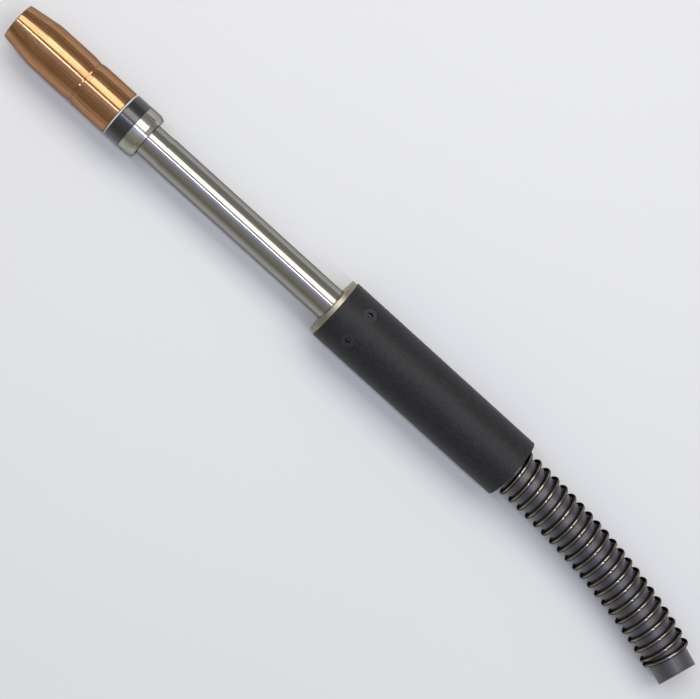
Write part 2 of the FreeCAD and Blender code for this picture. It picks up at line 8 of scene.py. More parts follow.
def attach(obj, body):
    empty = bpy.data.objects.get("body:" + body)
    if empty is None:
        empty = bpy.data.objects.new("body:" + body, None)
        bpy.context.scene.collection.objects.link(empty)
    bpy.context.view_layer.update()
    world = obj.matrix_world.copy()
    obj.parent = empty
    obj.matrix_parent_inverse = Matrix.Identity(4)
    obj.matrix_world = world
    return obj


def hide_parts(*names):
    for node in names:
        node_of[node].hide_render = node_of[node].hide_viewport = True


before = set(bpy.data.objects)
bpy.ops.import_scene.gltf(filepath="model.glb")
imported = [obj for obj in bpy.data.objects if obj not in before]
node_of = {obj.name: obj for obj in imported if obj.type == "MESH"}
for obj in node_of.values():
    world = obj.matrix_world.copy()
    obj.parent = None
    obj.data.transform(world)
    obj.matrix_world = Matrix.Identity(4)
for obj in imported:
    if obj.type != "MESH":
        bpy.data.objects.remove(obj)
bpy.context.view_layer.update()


# Stage: the torch lies on a white laminate table. A long soft box stands to the right of it, a narrow
# strip light hangs close to the camera, and dull studio walls close the room round them. The camera
# looks almost straight down.

def linear(code):
    """Linear colour with alpha of an sRGB hex code such as #B87333."""
    parts = [int(code[i:i + 2], 16) / 255 for i in (1, 3, 5)]
    return tuple(c / 12.92 if c <= 0.04045 else ((c + 0.055) / 1.055) ** 2.4 for c in parts) + (1.0,)


def feed(tree, node, inputs):
    """Gives inputs of a node a value, or a link from a socket or from the first output of a node."""
    for name, value in inputs.items():
        if isinstance(value, bpy.types.Node):
            value = value.outputs[0]
        if isinstance(value, bpy.types.NodeSocket):
            tree.links.new(value, node.inputs[name])
        else:
            node.inputs[name].default_value = value


def add(tree, kind, inputs=None, stops=None, **settings):
    """Adds a node to a tree, with its settings and its inputs, and with two colours on a ramp by place."""
    node = tree.nodes.new(kind)
    for name, value in settings.items():
        setattr(node, name, value)
    feed(tree, node, inputs or {})
    for i, (position, code) in enumerate((stops or {}).items()):
        node.color_ramp.elements[i].position = position
        node.color_ramp.elements[i].color = linear(code)
    return node


def blank_finish(name, follows=None, output="Vector"):
    """A new material with its tree, its shader and the place that its patterns follow. That is the
    place on the piece, or an attribute of its mesh."""
    material = bpy.data.materials.new(name)
    material.use_nodes = True
    tree = material.node_tree
    if follows:
        place = add(tree, "ShaderNodeAttribute", attribute_name=follows).outputs[output]
    else:
        place = add(tree, "ShaderNodeTexCoord").outputs["Object"]
    return material, tree, tree.nodes["Principled BSDF"], place


# The table stands still while the torch is photographed, so it is one flat face, 6 m wide. The handle
# lies on it
table_height = -0.01905
table_half = 3.0
table_corners = ((-1, -1), (1, -1), (1, 1), (-1, 1))
table_mesh = bpy.data.meshes.new("table_top")
table_points = [(x * table_half, y * table_half, table_height) for x, y in table_corners]
table_mesh.from_pydata(table_points, [], [(0, 1, 2, 3)])
table_top = bpy.data.objects.new("table_top", table_mesh)
bpy.context.scene.collection.objects.link(table_top)

# White laminate: matt, with a tone that wanders so little that the eye takes it for plain
white_laminate, tree, shader, place = blank_finish("white_laminate")
cloud = add(tree, "ShaderNodeTexNoise", {"Vector": place, "Scale": 3.0, "Detail": 2.0})
tone = add(tree, "ShaderNodeValToRGB", {"Fac": cloud}, stops={0.0: "#DCDCDC", 1.0: "#DFDFDF"})
feed(tree, shader, {"Base Color": tone, "Roughness": 1.0, "Specular IOR Level": 0.0})
table_mesh.materials.append(white_laminate)

# The walls, by degrees from straight up, with -Y to the right of the torch and +Y to its left. Each
# stop has a level and how much redder and bluer than green it is. A pale door edge makes the thin line
# of light at -82
walls = bpy.data.worlds.new("studio_walls")
walls.use_nodes = True
tree = walls.node_tree
direction = add(tree, "ShaderNodeTexCoord").outputs["Generated"]
part = add(tree, "ShaderNodeSeparateXYZ", {"Vector": direction}).outputs
angle = add(tree, "ShaderNodeMath", {0: part["Y"], 1: part["Z"]}, operation="ARCTAN2")
turn = add(tree, "ShaderNodeMath", {0: angle, 1: 1 / math.tau, 2: 0.5}, operation="MULTIPLY_ADD")
glow = add(tree, "ShaderNodeValToRGB", {"Fac": turn})
wall_stops = (
    (-105, 0.28, 1.02, 0.92),
    (-89, 0.34, 1.02, 0.92),
    (-86, 0.24, 1.02, 0.92),
    (-82, 0.52, 1.02, 0.92),
    (-76, 0.34, 1.02, 0.92),
    (-68, 0.30, 1.02, 0.94),
    (-58, 0.42, 1.02, 0.98),
    (-20, 0.56, 1.02, 0.98),
    (-9, 0.28, 1.12, 1.12),
    (0, 0.66, 1.00, 1.25),
    (9, 0.74, 0.88, 1.50),
    (18, 0.52, 0.97, 1.28),
    (29, 0.42, 1.02, 0.97),
    (42, 0.38, 1.02, 0.87),
    (64, 0.28, 1.02, 0.83),
    (72, 0.35, 1.02, 0.86),
    (84, 0.54, 1.02, 0.92),
    (105, 0.52, 1.02, 0.94),
)
ramp = glow.color_ramp.elements
ramp[0].position = wall_stops[0][0] / 360 + 0.5
ramp[1].position = wall_stops[-1][0] / 360 + 0.5
for degrees, level, red, blue in wall_stops[1:-1]:
    ramp.new(degrees / 360 + 0.5)
for stop, (degrees, level, red, blue) in zip(ramp, wall_stops):
    stop.color = (level * red, level, level * blue, 1)
feed(tree, tree.nodes["Background"], {"Color": glow})
bpy.context.scene.world = walls

# Both lights run along the torch and on past its ends. Each is placed by how far it leans from
# straight up towards -Y, its distance, the angle it covers, its middle and length along the torch, how
# bright its face is, its tint, how much of its width fades out at each side, and how much brighter its
# bulb is than the rest of it. Places on a light's face run from 0 to 1
bulb_place = 0.505
bulb_half = 0.02
bulb_reach = 0.10
light_facts = (
    ("soft_box", -28.6, 1.3, 30.9, 0.45, 2.1, 2.7, (1.0, 0.98, 0.93), 0.10, 0.30),
    ("strip_light", -1.8, 1.7, 4.6, 0.0, 3.6, 8.9, (0.84, 0.91, 1.0), 0.20, 0.0),
)
for name, lean, distance, spread, middle, length, radiance, tint, fade, bulb in light_facts:
    light = bpy.data.lights.new(name, "AREA")
    light.shape = "RECTANGLE"
    light.size = length
    light.size_y = 2 * distance * math.tan(math.radians(spread / 2))
    light.energy = radiance * math.pi * light.size * light.size_y
    light.color = tint
    light.use_nodes = True
    tree = light.node_tree
    face = add(tree, "ShaderNodeNewGeometry").outputs["Parametric"]
    spot = add(tree, "ShaderNodeSeparateXYZ", {"Vector": face}).outputs
    side = add(tree, "ShaderNodeMath", {0: spot["Y"], 1: 0.5}, operation="SUBTRACT")
    side = add(tree, "ShaderNodeMath", {0: side}, operation="ABSOLUTE")
    level = add(tree, "ShaderNodeMapRange", {
        "Value": side, "From Min": 0.5, "From Max": 0.5 - fade}, interpolation_type="SMOOTHSTEP")
    hot = add(tree, "ShaderNodeMath", {0: spot["X"], 1: bulb_place}, operation="SUBTRACT")
    hot = add(tree, "ShaderNodeMath", {0: hot}, operation="ABSOLUTE")
    hot = add(tree, "ShaderNodeMapRange", {
        "Value": hot, "From Min": bulb_reach, "From Max": bulb_half, "To Min": 1.0, "To Max": 1.0 + bulb,
    }, interpolation_type="SMOOTHSTEP")
    level = add(tree, "ShaderNodeMath", {0: level, 1: hot}, operation="MULTIPLY")
    feed(tree, tree.nodes["Emission"], {"Strength": level})
    lamp = bpy.data.objects.new(name, light)
    lamp.matrix_world = Matrix.Translation((middle, 0, 0)) @ Matrix.Rotation(math.radians(-lean), 4, "X") @ \
        Matrix.Translation((0, 0, distance))
    lamp.visible_camera = False
    bpy.context.scene.collection.objects.link(lamp)

# The lens is long, so the torch hardly tapers with distance
camera = bpy.data.cameras.new("camera")
camera.sensor_width = 36.0
camera.lens = 118.29
camera_place = (0.139706, 0.011446, 1.285552)
viewer = bpy.data.objects.new("camera", camera)
screen_right = Vector((-0.7394, -0.6711, 0.0540)).normalized()
backwards = Vector((0.07285, 0.0, 0.99734)).normalized()
screen_up = backwards.cross(screen_right).normalized()
screen_right = screen_up.cross(backwards)
viewer.matrix_world = Matrix.Translation(camera_place) @ \
    Matrix((screen_right, screen_up, backwards)).transposed().to_4x4()
bpy.context.scene.collection.objects.link(viewer)
bpy.context.scene.camera = viewer
bpy.context.scene.view_settings.view_transform = "Standard"


# Power cable jacket: black rubber extruded over the strands. Its front end is held in the bushing
# inside the handle. The stub droops from the handle to the table, bends to one side, and is cut off
# with a blade that leans a little.

jacket_radius = 0.0119
jacket_bore = 0.0083
jacket_rounding = 0.0004
cut_lean = math.radians(15)
cable_route = (
    (-0.0472, 0, 0),
    (-0.0684, 0, 0),
    (-0.0912, 0.00078, -0.00093),
    (-0.1162, 0.0025, -0.00215),
    (-0.1424, 0.00545, -0.00325),
    (-0.1684, 0.00995, -0.00395),
    (-0.1942, 0.0156, -0.00412),
    (-0.2181, 0.0236, -0.00412),
)
route_curve = bpy.data.curves.new("cable_route", "CURVE")
route_curve.dimensions = "3D"
route_curve.resolution_u = 24
spline = route_curve.splines.new("NURBS")
spline.points.add(len(cable_route) - 1)
for control, spot in zip(spline.points, cable_route):
    control.co = (*spot, 1)
spline.order_u = 3
spline.use_endpoint_u = True
route_object = bpy.data.objects.new("cable_route", route_curve)
bpy.context.scene.collection.objects.link(route_object)
bpy.context.view_layer.update()
route_view = route_object.evaluated_get(bpy.context.evaluated_depsgraph_get())
route_mesh = bpy.data.meshes.new_from_object(route_view)
cable_line = [v.co.copy() for v in route_mesh.vertices]
bpy.data.objects.remove(route_object)
cable_length = sum((b - a).length for a, b in zip(cable_line, cable_line[1:]))


def ring_shell(name, points, around):
    """Closed mesh through rings of points, the last of which meets the first, with its faces outwards."""
    count = len(points) // around
    faces = []
    for i in range(count):
        j = (i + 1) % count
        for k in range(around):
            m = (k + 1) % around
            faces.append((i * around + k, j * around + k, j * around + m, i * around + m))
    mesh = bpy.data.meshes.new(name)
    mesh.from_pydata(points, [], faces)
    shell = bmesh.new()
    shell.from_mesh(mesh)
    bmesh.ops.recalc_face_normals(shell, faces=shell.faces)
    shell.to_mesh(mesh)
    shell.free()
    return mesh


def new_piece(name, mesh, material, body):
    """An object for a finished mesh, with its material and the body that it rides on."""
    piece = bpy.data.objects.new(name, mesh)
    bpy.context.scene.collection.objects.link(piece)
    if material is not None:
        mesh.materials.append(material)
    mesh.polygons.foreach_set("use_smooth", [True] * len(mesh.polygons))
    mesh.set_sharp_from_angle(angle=math.radians(35))
    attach(piece, body)
    return piece


def cable_layer(name, line, bore, radius, rounding, around, recess=0.0):
    """Mesh of a tube along a line of points, with rounded outer rims and a leaning cut at its end.
    Its swept_place attribute holds the distance along the tube and the two distances across it."""
    headings = []
    for i in range(len(line)):
        headings.append((line[min(i + 1, len(line) - 1)] - line[max(i - 1, 0)]).normalized())
    run = [0.0]
    for a, b in zip(line, line[1:]):
        run.append(run[-1] + (b - a).length)
    # The line's points within reach of the leaning cut, and a fifth more, get no ring of their own
    clear = 1.2 * radius * math.tan(cut_lean) + recess
    whole = [i for i in range(1, len(line)) if run[-1] - run[i] > clear]
    # A rim is rounded in two steps, with its middle point 0.3 of the rounding off the corner's sides
    shaved = 0.3 * rounding
    rims = ((0.0, radius - rounding), (shaved, radius - shaved), (rounding, radius))
    rings = [(line[0] + headings[0] * step, headings[0], step, r, 0.0) for step, r in rims]
    rings += [(line[i], headings[i], run[i], radius, 0.0) for i in whole]
    for step, r in reversed(rims):
        back = recess + step
        rings.append((line[-1] - headings[-1] * back, headings[-1], run[-1] - back, r, cut_lean))
    rings.append((line[-1] - headings[-1] * recess, headings[-1], run[-1] - recess, bore, cut_lean))
    rings += [(line[i], headings[i], run[i], bore, 0.0) for i in reversed([0] + whole)]
    points = []
    places = []
    for centre, heading, distance, r, lean in rings:
        up = (Vector((0, 0, 1)) - heading * heading.z).normalized()
        side = up.cross(heading)
        for k in range(around):
            a = math.tau * k / around
            back = r * math.sin(a) * math.tan(lean)
            points.append(centre + side * (r * math.cos(a)) + up * (r * math.sin(a)) - heading * back)
            places += (distance - back, r * math.cos(a), r * math.sin(a))
    mesh = ring_shell(name, points, around)
    swept = mesh.attributes.new("swept_place", "FLOAT_VECTOR", "POINT")
    swept.data.foreach_set("vector", places)
    return mesh


# Extruded rubber: grey-black with a soft sheen and a fine open grain, drawn out in faint lines along
# the cable. Handling has left a pale bloom on it in patches
jacket_rubber, tree, shader, place = blank_finish("extruded_black_rubber", "swept_place")
stretch = add(tree, "ShaderNodeMapping", {"Vector": place, "Scale": (1000 / 60, 1000 / 1.2, 1000 / 1.2)})
lines = add(tree, "ShaderNodeTexNoise", {"Vector": stretch, "Scale": 1.0, "Detail": 3.0})
stretch = add(tree, "ShaderNodeMapping", {"Vector": place, "Scale": (1000 / 14, 1000 / 8, 1000 / 8)})
bloom = add(tree, "ShaderNodeTexNoise", {"Vector": stretch, "Scale": 1.0, "Detail": 4.0, "Roughness": 0.6})
grain = add(tree, "ShaderNodeTexNoise", {"Vector": place, "Scale": 1000 / 0.9, "Detail": 3.0})
tone = add(tree, "ShaderNodeValToRGB", {"Fac": bloom}, stops={0.34: "#322E35", 0.70: "#423E46"})
pores = add(tree, "ShaderNodeMapRange", {
    "Value": grain, "From Min": 0.56, "From Max": 0.40, "To Max": 0.55})
lined = add(tree, "ShaderNodeMix", {0: lines, 6: tone, 7: linear("#3B3740")}, data_type="RGBA")
colour = add(tree, "ShaderNodeMix", {0: pores, 6: lined.outputs[2], 7: linear("#1D1B1F")}, data_type="RGBA")
gloss = add(tree, "ShaderNodeMapRange", {
    "Value": grain, "From Min": 0.3, "From Max": 0.7, "To Min": 0.48, "To Max": 0.32})
relief = add(tree, "ShaderNodeMath", {0: lines, 1: 0.6, 2: grain}, operation="MULTIPLY_ADD")
bump = add(tree, "ShaderNodeBump", {"Height": relief, "Strength": 0.7, "Distance": 0.00009})
feed(tree, shader, {
    "Base Color": colour.outputs[2], "Roughness": gloss, "Normal": bump, "Specular IOR Level": 1.0})

jacket_mesh = cable_layer("cable_jacket_rubber", cable_line, jacket_bore, jacket_radius, jacket_rounding, 96)
jacket = new_piece("cable_jacket_rubber", jacket_mesh, jacket_rubber, "torch")
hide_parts("cable_jacket")


# Cable strands: fine bare copper wires, twisted into ten bundles that lie round the gas conduit. They
# fill the jacket, and their cut ends, a little uneven, show where the cable stops.

strand_radius = 0.0082
strand_bore = 0.0043
strand_rounding = 0.0002
strand_recess = 0.0016
bundle_count = 10
bundle_radius = 0.00168
wires_per_bundle = 37
wire_radius = 0.00024
wire_length = 0.0022
wire_unevenness = 0.0004
wire_sides = 8
golden_angle = 2.39996
bundle_twist = 1.3


def blank_tree(name, **sizes):
    """A Geometry Nodes tree with a mesh, a finish and sizes as its inputs, and these inputs by name."""
    tree = bpy.data.node_groups.new(name, "GeometryNodeTree")
    kinds = {"Geometry": ("Geometry",), "Material": ("Finish",), **sizes}
    for kind, titles in kinds.items():
        for title in titles:
            tree.interface.new_socket(title, in_out="INPUT", socket_type="NodeSocket" + kind)
    tree.interface.new_socket("Geometry", in_out="OUTPUT", socket_type="NodeSocketGeometry")
    return tree, dict(add(tree, "NodeGroupInput").outputs.items())


def finish_tree(tree, geometry, finish):
    """Ends a tree in real geometry, without instances, that wears the finish."""
    whole = add(tree, "GeometryNodeRealizeInstances", {"Geometry": geometry})
    dressed = add(tree, "GeometryNodeSetMaterial", {"Geometry": whole, "Material": finish})
    add(tree, "NodeGroupOutput", {"Geometry": dressed})


def strand_ends_tree():
    """Geometry Nodes tree that adds the cut ends of bundled wires to the tube that they fill."""
    tree, given = blank_tree(
        "strand_ends", Int=("Bundles", "Wires"), Vector=("Place",), Rotation=("Turn",),
        Float=("Ring Radius", "Bundle Radius", "Wire Radius", "Wire Length", "Uneven By", "Lean"))
    number = add(tree, "GeometryNodeInputIndex")
    uneven = add(tree, "FunctionNodeRandomValue", {
        2: 0.0, 3: given["Uneven By"], "ID": number, "Seed": 4}, data_type="FLOAT").outputs[1]

    # Each sum has a name, an operation and its terms. A wire's number gives its bundle, its place in the
    # bundle, and so where it ends. Each wire of a bundle stands a golden angle on from the last one, and
    # each bundle is twisted a little further
    sums = (
        ("wires in all", "MULTIPLY", "Bundles", "Wires"),
        ("number and half", "ADD", "number", 0.5),
        ("bundles passed", "DIVIDE", "number and half", "Wires"),
        ("bundle", "FLOOR", "bundles passed"),
        ("wires passed", "MULTIPLY", "bundle", "Wires"),
        ("wire", "SUBTRACT", "number", "wires passed"),
        ("bundle share", "DIVIDE", "bundle", "Bundles"),
        ("bundle angle", "MULTIPLY", "bundle share", math.tau),
        ("bundle twist", "MULTIPLY", "bundle", bundle_twist),
        ("wire angle", "MULTIPLY_ADD", "wire", golden_angle, "bundle twist"),
        ("wire and half", "ADD", "wire", 0.5),
        ("wire share", "DIVIDE", "wire and half", "Wires"),
        ("reach share", "SQRT", "wire share"),
        ("reach", "MULTIPLY", "reach share", "Bundle Radius"),
        ("bundle cosine", "COSINE", "bundle angle"),
        ("bundle sine", "SINE", "bundle angle"),
        ("wire cosine", "COSINE", "wire angle"),
        ("wire sine", "SINE", "wire angle"),
        ("bundle sideways", "MULTIPLY", "bundle cosine", "Ring Radius"),
        ("bundle upwards", "MULTIPLY", "bundle sine", "Ring Radius"),
        ("sideways", "MULTIPLY_ADD", "wire cosine", "reach", "bundle sideways"),
        ("upwards", "MULTIPLY_ADD", "wire sine", "reach", "bundle upwards"),
        ("slope", "TANGENT", "Lean"),
        ("cut back", "MULTIPLY_ADD", "upwards", "slope", "uneven"),
        ("back", "MULTIPLY_ADD", "Wire Length", 0.5, "cut back"),
        ("along", "MULTIPLY", "back", -1.0),
    )
    known = {**given, "number": number, "uneven": uneven}
    for name, operation, *terms in sums:
        terms = {i: known.get(term, term) for i, term in enumerate(terms)}
        known[name] = add(tree, "ShaderNodeMath", terms, operation=operation)
    spots = add(tree, "GeometryNodePoints", {"Count": known["wires in all"]})
    spot = add(tree, "ShaderNodeCombineXYZ", {
        "X": known["along"], "Y": known["sideways"], "Z": known["upwards"]})
    spots = add(tree, "GeometryNodeSetPosition", {"Geometry": spots, "Position": spot})
    rod = add(tree, "GeometryNodeMeshCylinder", {
        "Vertices": wire_sides, "Radius": given["Wire Radius"], "Depth": given["Wire Length"]})
    rod = add(tree, "GeometryNodeTransform", {"Geometry": rod, "Rotation": (0.0, math.pi / 2, 0.0)})
    rods = add(tree, "GeometryNodeInstanceOnPoints", {"Points": spots, "Instance": rod})
    rods = add(tree, "GeometryNodeTransform", {
        "Geometry": rods, "Translation": given["Place"], "Rotation": given["Turn"]})
    rods = add(tree, "GeometryNodeRealizeInstances", {"Geometry": rods})
    both = add(tree, "GeometryNodeJoinGeometry", {"Geometry": rods})
    feed(tree, both, {"Geometry": given["Geometry"]})
    finish_tree(tree, both, given["Finish"])
    return tree


def made_by(tree, name, base, sizes):
    """Mesh that a Geometry Nodes tree makes of a base mesh, with the tree's sizes by name."""
    holder = bpy.data.objects.new(name, base)
    bpy.context.scene.collection.objects.link(holder)
    modifier = holder.modifiers.new(name, "NODES")
    modifier.node_group = tree
    for item in tree.interface.items_tree:
        if item.item_type == "SOCKET" and item.in_out == "INPUT" and item.name in sizes:
            modifier[item.identifier] = sizes[item.name]
    bpy.context.view_layer.update()
    mesh = bpy.data.meshes.new_from_object(holder.evaluated_get(bpy.context.evaluated_depsgraph_get()))
    bpy.data.objects.remove(holder)
    mesh.name = name
    return mesh


# Bare copper wire: each strand a little brighter or browner than the next, dulled by air
bare_strands, tree, shader, place = blank_finish("bare_copper_strands")
patch = add(tree, "ShaderNodeTexNoise", {"Vector": place, "Scale": 1000 / 0.8, "Detail": 2.0})
tone = add(tree, "ShaderNodeValToRGB", {"Fac": patch}, stops={0.35: "#8F5A3C", 0.65: "#C98A62"})
gloss = add(tree, "ShaderNodeMapRange", {"Value": patch, "To Min": 0.42, "To Max": 0.24})
feed(tree, shader, {"Base Color": tone, "Roughness": gloss, "Metallic": 1.0})

end_heading = (cable_line[-1] - cable_line[-2]).normalized()
end_up = (Vector((0, 0, 1)) - end_heading * end_heading.z).normalized()
end_side = end_up.cross(end_heading)
end_turn = Matrix((end_heading, end_side, end_up)).transposed().to_euler()
strand_tube = cable_layer(
    "strand_tube", cable_line, strand_bore, strand_radius, strand_rounding, 64, strand_recess)
strand_mesh = made_by(strand_ends_tree(), "cable_copper_strands", strand_tube, {
    "Bundles": bundle_count, "Wires": wires_per_bundle, "Ring Radius": (strand_radius + strand_bore) / 2,
    "Bundle Radius": bundle_radius, "Wire Radius": wire_radius, "Wire Length": wire_length,
    "Uneven By": wire_unevenness, "Lean": cut_lean, "Place": cable_line[-1], "Turn": end_turn,
    "Finish": bare_strands,
})
strands = new_piece("cable_copper_strands", strand_mesh, None, "torch")
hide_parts("cable_strands")


# Gas conduit: natural nylon tube in the middle of the cable. Shielding gas flows through it, round the
# wire liner.

# Natural nylon: milky and faintly yellow, with a soft half-gloss
natural_nylon, tree, shader, place = blank_finish("natural_nylon")
cloud = add(tree, "ShaderNodeTexNoise", {"Vector": place, "Scale": 1000 / 5, "Detail": 3.0})
tone = add(tree, "ShaderNodeValToRGB", {"Fac": cloud}, stops={0.0: "#CFCBBA", 1.0: "#DEDBCD"})
gloss = add(tree, "ShaderNodeMapRange", {"Value": cloud, "To Min": 0.35, "To Max": 0.5})
feed(tree, shader, {"Base Color": tone, "Roughness": gloss, "IOR": 1.53})


def dress(material, *nodes):
    """Puts a finish on the slots of CAD nodes whose shape is right."""
    for name in nodes:
        for slot in node_of[name].material_slots:
            slot.material = material


dress(natural_nylon, "gas_conduit")


# Strain relief spring: round spring wire, wound over the cable with open turns. Its last turn is
# closed up beside its neighbour, and its first end is a straight tang held in the rear bushing.

def wound_wire_tree():
    """Geometry Nodes tree that winds a wire round a line of edges."""
    tree, given = blank_tree(
        "wound_wire", Int=("Points Per Turn", "Sides"),
        Float=("Turns", "First Turn", "Start", "Pitch", "Coil Radius", "Wire Radius", "Closing Start",
               "Closing Turns", "Closed By", "Tang Turns", "Tang Slope", "Corner"))
    number = add(tree, "GeometryNodeInputIndex")
    closing = add(tree, "ShaderNodeMapRange", interpolation_type="SMOOTHSTEP")

    # Each sum has a name, an operation and its terms. The turns are counted along the wire. Before the
    # first turn the wire runs straight on as a tang, past a rounded corner
    sums = (
        ("span", "ADD", "Turns", "Tang Turns"),
        ("steps", "MULTIPLY", "span", "Points Per Turn"),
        ("count", "ROUND", "steps"),
        ("points", "ADD", "count", 1.0),
        ("share", "DIVIDE", "number", "count"),
        ("passed", "MULTIPLY", "share", "span"),
        ("turn", "SUBTRACT", "passed", "Tang Turns"),
        ("corner", "MULTIPLY", "Corner", "Corner"),
        ("square", "MULTIPLY_ADD", "turn", "turn", "corner"),
        ("size", "SQRT", "square"),
        ("both", "ADD", "size", "turn"),
        ("wound", "MULTIPLY", "both", 0.5),
        ("left", "SUBTRACT", "size", "turn"),
        ("straight", "MULTIPLY", "left", 0.5),
        ("closing end", "ADD", "Closing Start", "Closing Turns"),
        ("wound along", "MULTIPLY_ADD", "Pitch", "turn", "Start"),
        ("tang back", "MULTIPLY", "Tang Slope", "straight"),
        ("past tang", "SUBTRACT", "wound along", "tang back"),
        ("closed back", "MULTIPLY", "Closed By", "closing"),
        ("along", "SUBTRACT", "past tang", "closed back"),
        ("from top", "ADD", "wound", "First Turn"),
        ("angle", "MULTIPLY", "from top", math.tau),
        ("cosine", "COSINE", "angle"),
        ("sine", "SINE", "angle"),
        ("sideways", "MULTIPLY", "Coil Radius", "cosine"),
        ("upwards", "MULTIPLY", "Coil Radius", "sine"),
    )
    known = {**given, "number": number, "closing": closing}
    for name, operation, *terms in sums:
        terms = {i: known.get(term, term) for i, term in enumerate(terms)}
        known[name] = add(tree, "ShaderNodeMath", terms, operation=operation)
    feed(tree, closing, {
        "Value": known["turn"], "From Min": given["Closing Start"], "From Max": known["closing end"]})

    # Each point of the wire stands off the cable's line by the coil's radius
    route = add(tree, "GeometryNodeMeshToCurve", {"Mesh": given["Geometry"]})
    line = add(tree, "GeometryNodeCurvePrimitiveLine")
    wire = add(tree, "GeometryNodeResampleCurve", {"Curve": line, "Count": known["points"]})
    sample = add(tree, "GeometryNodeSampleCurve", {"Curves": route, "Length": known["along"]}, mode="LENGTH")
    heading = sample.outputs["Tangent"]
    away = add(tree, "ShaderNodeVectorMath", {0: (0.0, 0.0, 1.0), 1: heading}, operation="CROSS_PRODUCT")
    away = add(tree, "ShaderNodeVectorMath", {0: away}, operation="NORMALIZE")
    up = add(tree, "ShaderNodeVectorMath", {0: heading, 1: away}, operation="CROSS_PRODUCT")
    away = add(tree, "ShaderNodeVectorMath", {0: away, "Scale": known["sideways"]}, operation="SCALE")
    up = add(tree, "ShaderNodeVectorMath", {0: up, "Scale": known["upwards"]}, operation="SCALE")
    offset = add(tree, "ShaderNodeVectorMath", {0: away, 1: up}, operation="ADD")
    spot = add(tree, "ShaderNodeVectorMath", {0: sample.outputs["Position"], 1: offset}, operation="ADD")
    wire = add(tree, "GeometryNodeSetPosition", {"Geometry": wire, "Position": spot})
    wire = add(tree, "GeometryNodeSetCurveNormal", {"Curve": wire, "Normal": offset}, mode="FREE")

    # The finish follows the wire by two attributes: the distance along it, and the place across it,
    # whose X points away from the cable
    distance = add(tree, "GeometryNodeSplineParameter").outputs["Length"]
    wire = add(tree, "GeometryNodeStoreNamedAttribute", {
        "Geometry": wire, "Name": "along_wire", "Value": distance}, data_type="FLOAT", domain="POINT")
    section = add(tree, "GeometryNodeCurvePrimitiveCircle", {
        "Resolution": given["Sides"], "Radius": given["Wire Radius"]})
    spot = add(tree, "GeometryNodeInputPosition")
    section = add(tree, "GeometryNodeStoreNamedAttribute", {
        "Geometry": section, "Name": "across_wire", "Value": spot}, data_type="FLOAT_VECTOR", domain="POINT")
    solid = add(tree, "GeometryNodeCurveToMesh", {
        "Curve": wire, "Profile Curve": section, "Fill Caps": True})
    finish_tree(tree, solid, given["Finish"])
    return tree


def line_mesh(name, points):
    """Mesh of edges through a line of points."""
    mesh = bpy.data.meshes.new(name)
    mesh.from_pydata(points, [(i, i + 1) for i in range(len(points) - 1)], [])
    return mesh


# Blackened spring wire: a near-black, slightly brown oxide with fine drawing lines along it. Clamps and
# floors have rubbed it down to grey steel along the crest, the part of each turn that stands furthest
# out, which takes a thin bright glint
crest_start = 0.00110
crest_full = 0.00124
oxide_wire, tree, shader, along = blank_finish("black_oxide_spring_wire", "along_wire", "Fac")
across = add(tree, "ShaderNodeAttribute", attribute_name="across_wire").outputs["Vector"]
across = add(tree, "ShaderNodeSeparateXYZ", {"Vector": across}).outputs
place = add(tree, "ShaderNodeCombineXYZ", {"X": along, "Y": across["X"], "Z": across["Y"]})
stretch = add(tree, "ShaderNodeMapping", {"Vector": place, "Scale": (1000 / 12, 1000 / 0.3, 1000 / 0.3)})
lines = add(tree, "ShaderNodeTexNoise", {"Vector": stretch, "Scale": 1.0, "Detail": 2.0})
stretch = add(tree, "ShaderNodeMapping", {"Vector": place, "Scale": (1000 / 7, 1000 / 3, 1000 / 3)})
rubbed = add(tree, "ShaderNodeTexNoise", {"Vector": stretch, "Scale": 1.0, "Detail": 3.0})
crest = add(tree, "ShaderNodeMapRange", {
    "Value": across["X"], "From Min": crest_start, "From Max": crest_full, "To Min": -0.1, "To Max": 0.55})
worn = add(tree, "ShaderNodeMath", {0: rubbed, 1: 0.6, 2: crest}, operation="MULTIPLY_ADD")
tone = add(tree, "ShaderNodeValToRGB", {"Fac": worn}, stops={0.20: "#3A3633", 1.0: "#A29A8F"})
gloss = add(tree, "ShaderNodeMapRange", {
    "Value": crest, "From Min": -0.1, "From Max": 0.55, "To Min": 0.32, "To Max": 0.10})
bump = add(tree, "ShaderNodeBump", {"Height": lines, "Strength": 0.5, "Distance": 0.00001})
feed(tree, shader, {
    "Base Color": tone, "Roughness": gloss, "Normal": bump, "Metallic": 1.0,
    "Specular Tint": linear("#8A8A8A")})

# Starts, ends and gaps are lengths along the cable, and the rest is counted in turns. The wire closes up
# over the closing turns, which begin a little ahead of its end. The tang runs back by its slope for each
# turn that it isn't wound
spring_turns = 21.36
first_turn = 110.0 / 360
spring_wire = 0.0025
spring_clearance = 0.0002
spring_start = 0.0170
bare_end = 0.0133
closed_gap = 0.0008
closing_ahead = 0.70
closing_turns = 0.53
tang_turns = 0.12
tang_slope = 0.0598
tang_corner = 0.03
spring_pitch = (cable_length - bare_end - spring_start - spring_wire - closed_gap) / (spring_turns - 1)
winding = wound_wire_tree()
spring_mesh = made_by(winding, "strain_relief_spring_wire", line_mesh("cable_line", cable_line), {
    "Turns": spring_turns, "First Turn": first_turn, "Start": spring_start, "Pitch": spring_pitch,
    "Coil Radius": jacket_radius + spring_clearance + spring_wire / 2, "Wire Radius": spring_wire / 2,
    "Closing Start": spring_turns - closing_ahead, "Closing Turns": closing_turns,
    "Closed By": spring_pitch - spring_wire - closed_gap,
    "Tang Turns": tang_turns, "Tang Slope": tang_slope, "Corner": tang_corner,
    "Points Per Turn": 36, "Sides": 16, "Finish": oxide_wire,
})
spring = new_piece("strain_relief_spring_wire", spring_mesh, None, "torch")
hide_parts("strain_relief_spring")


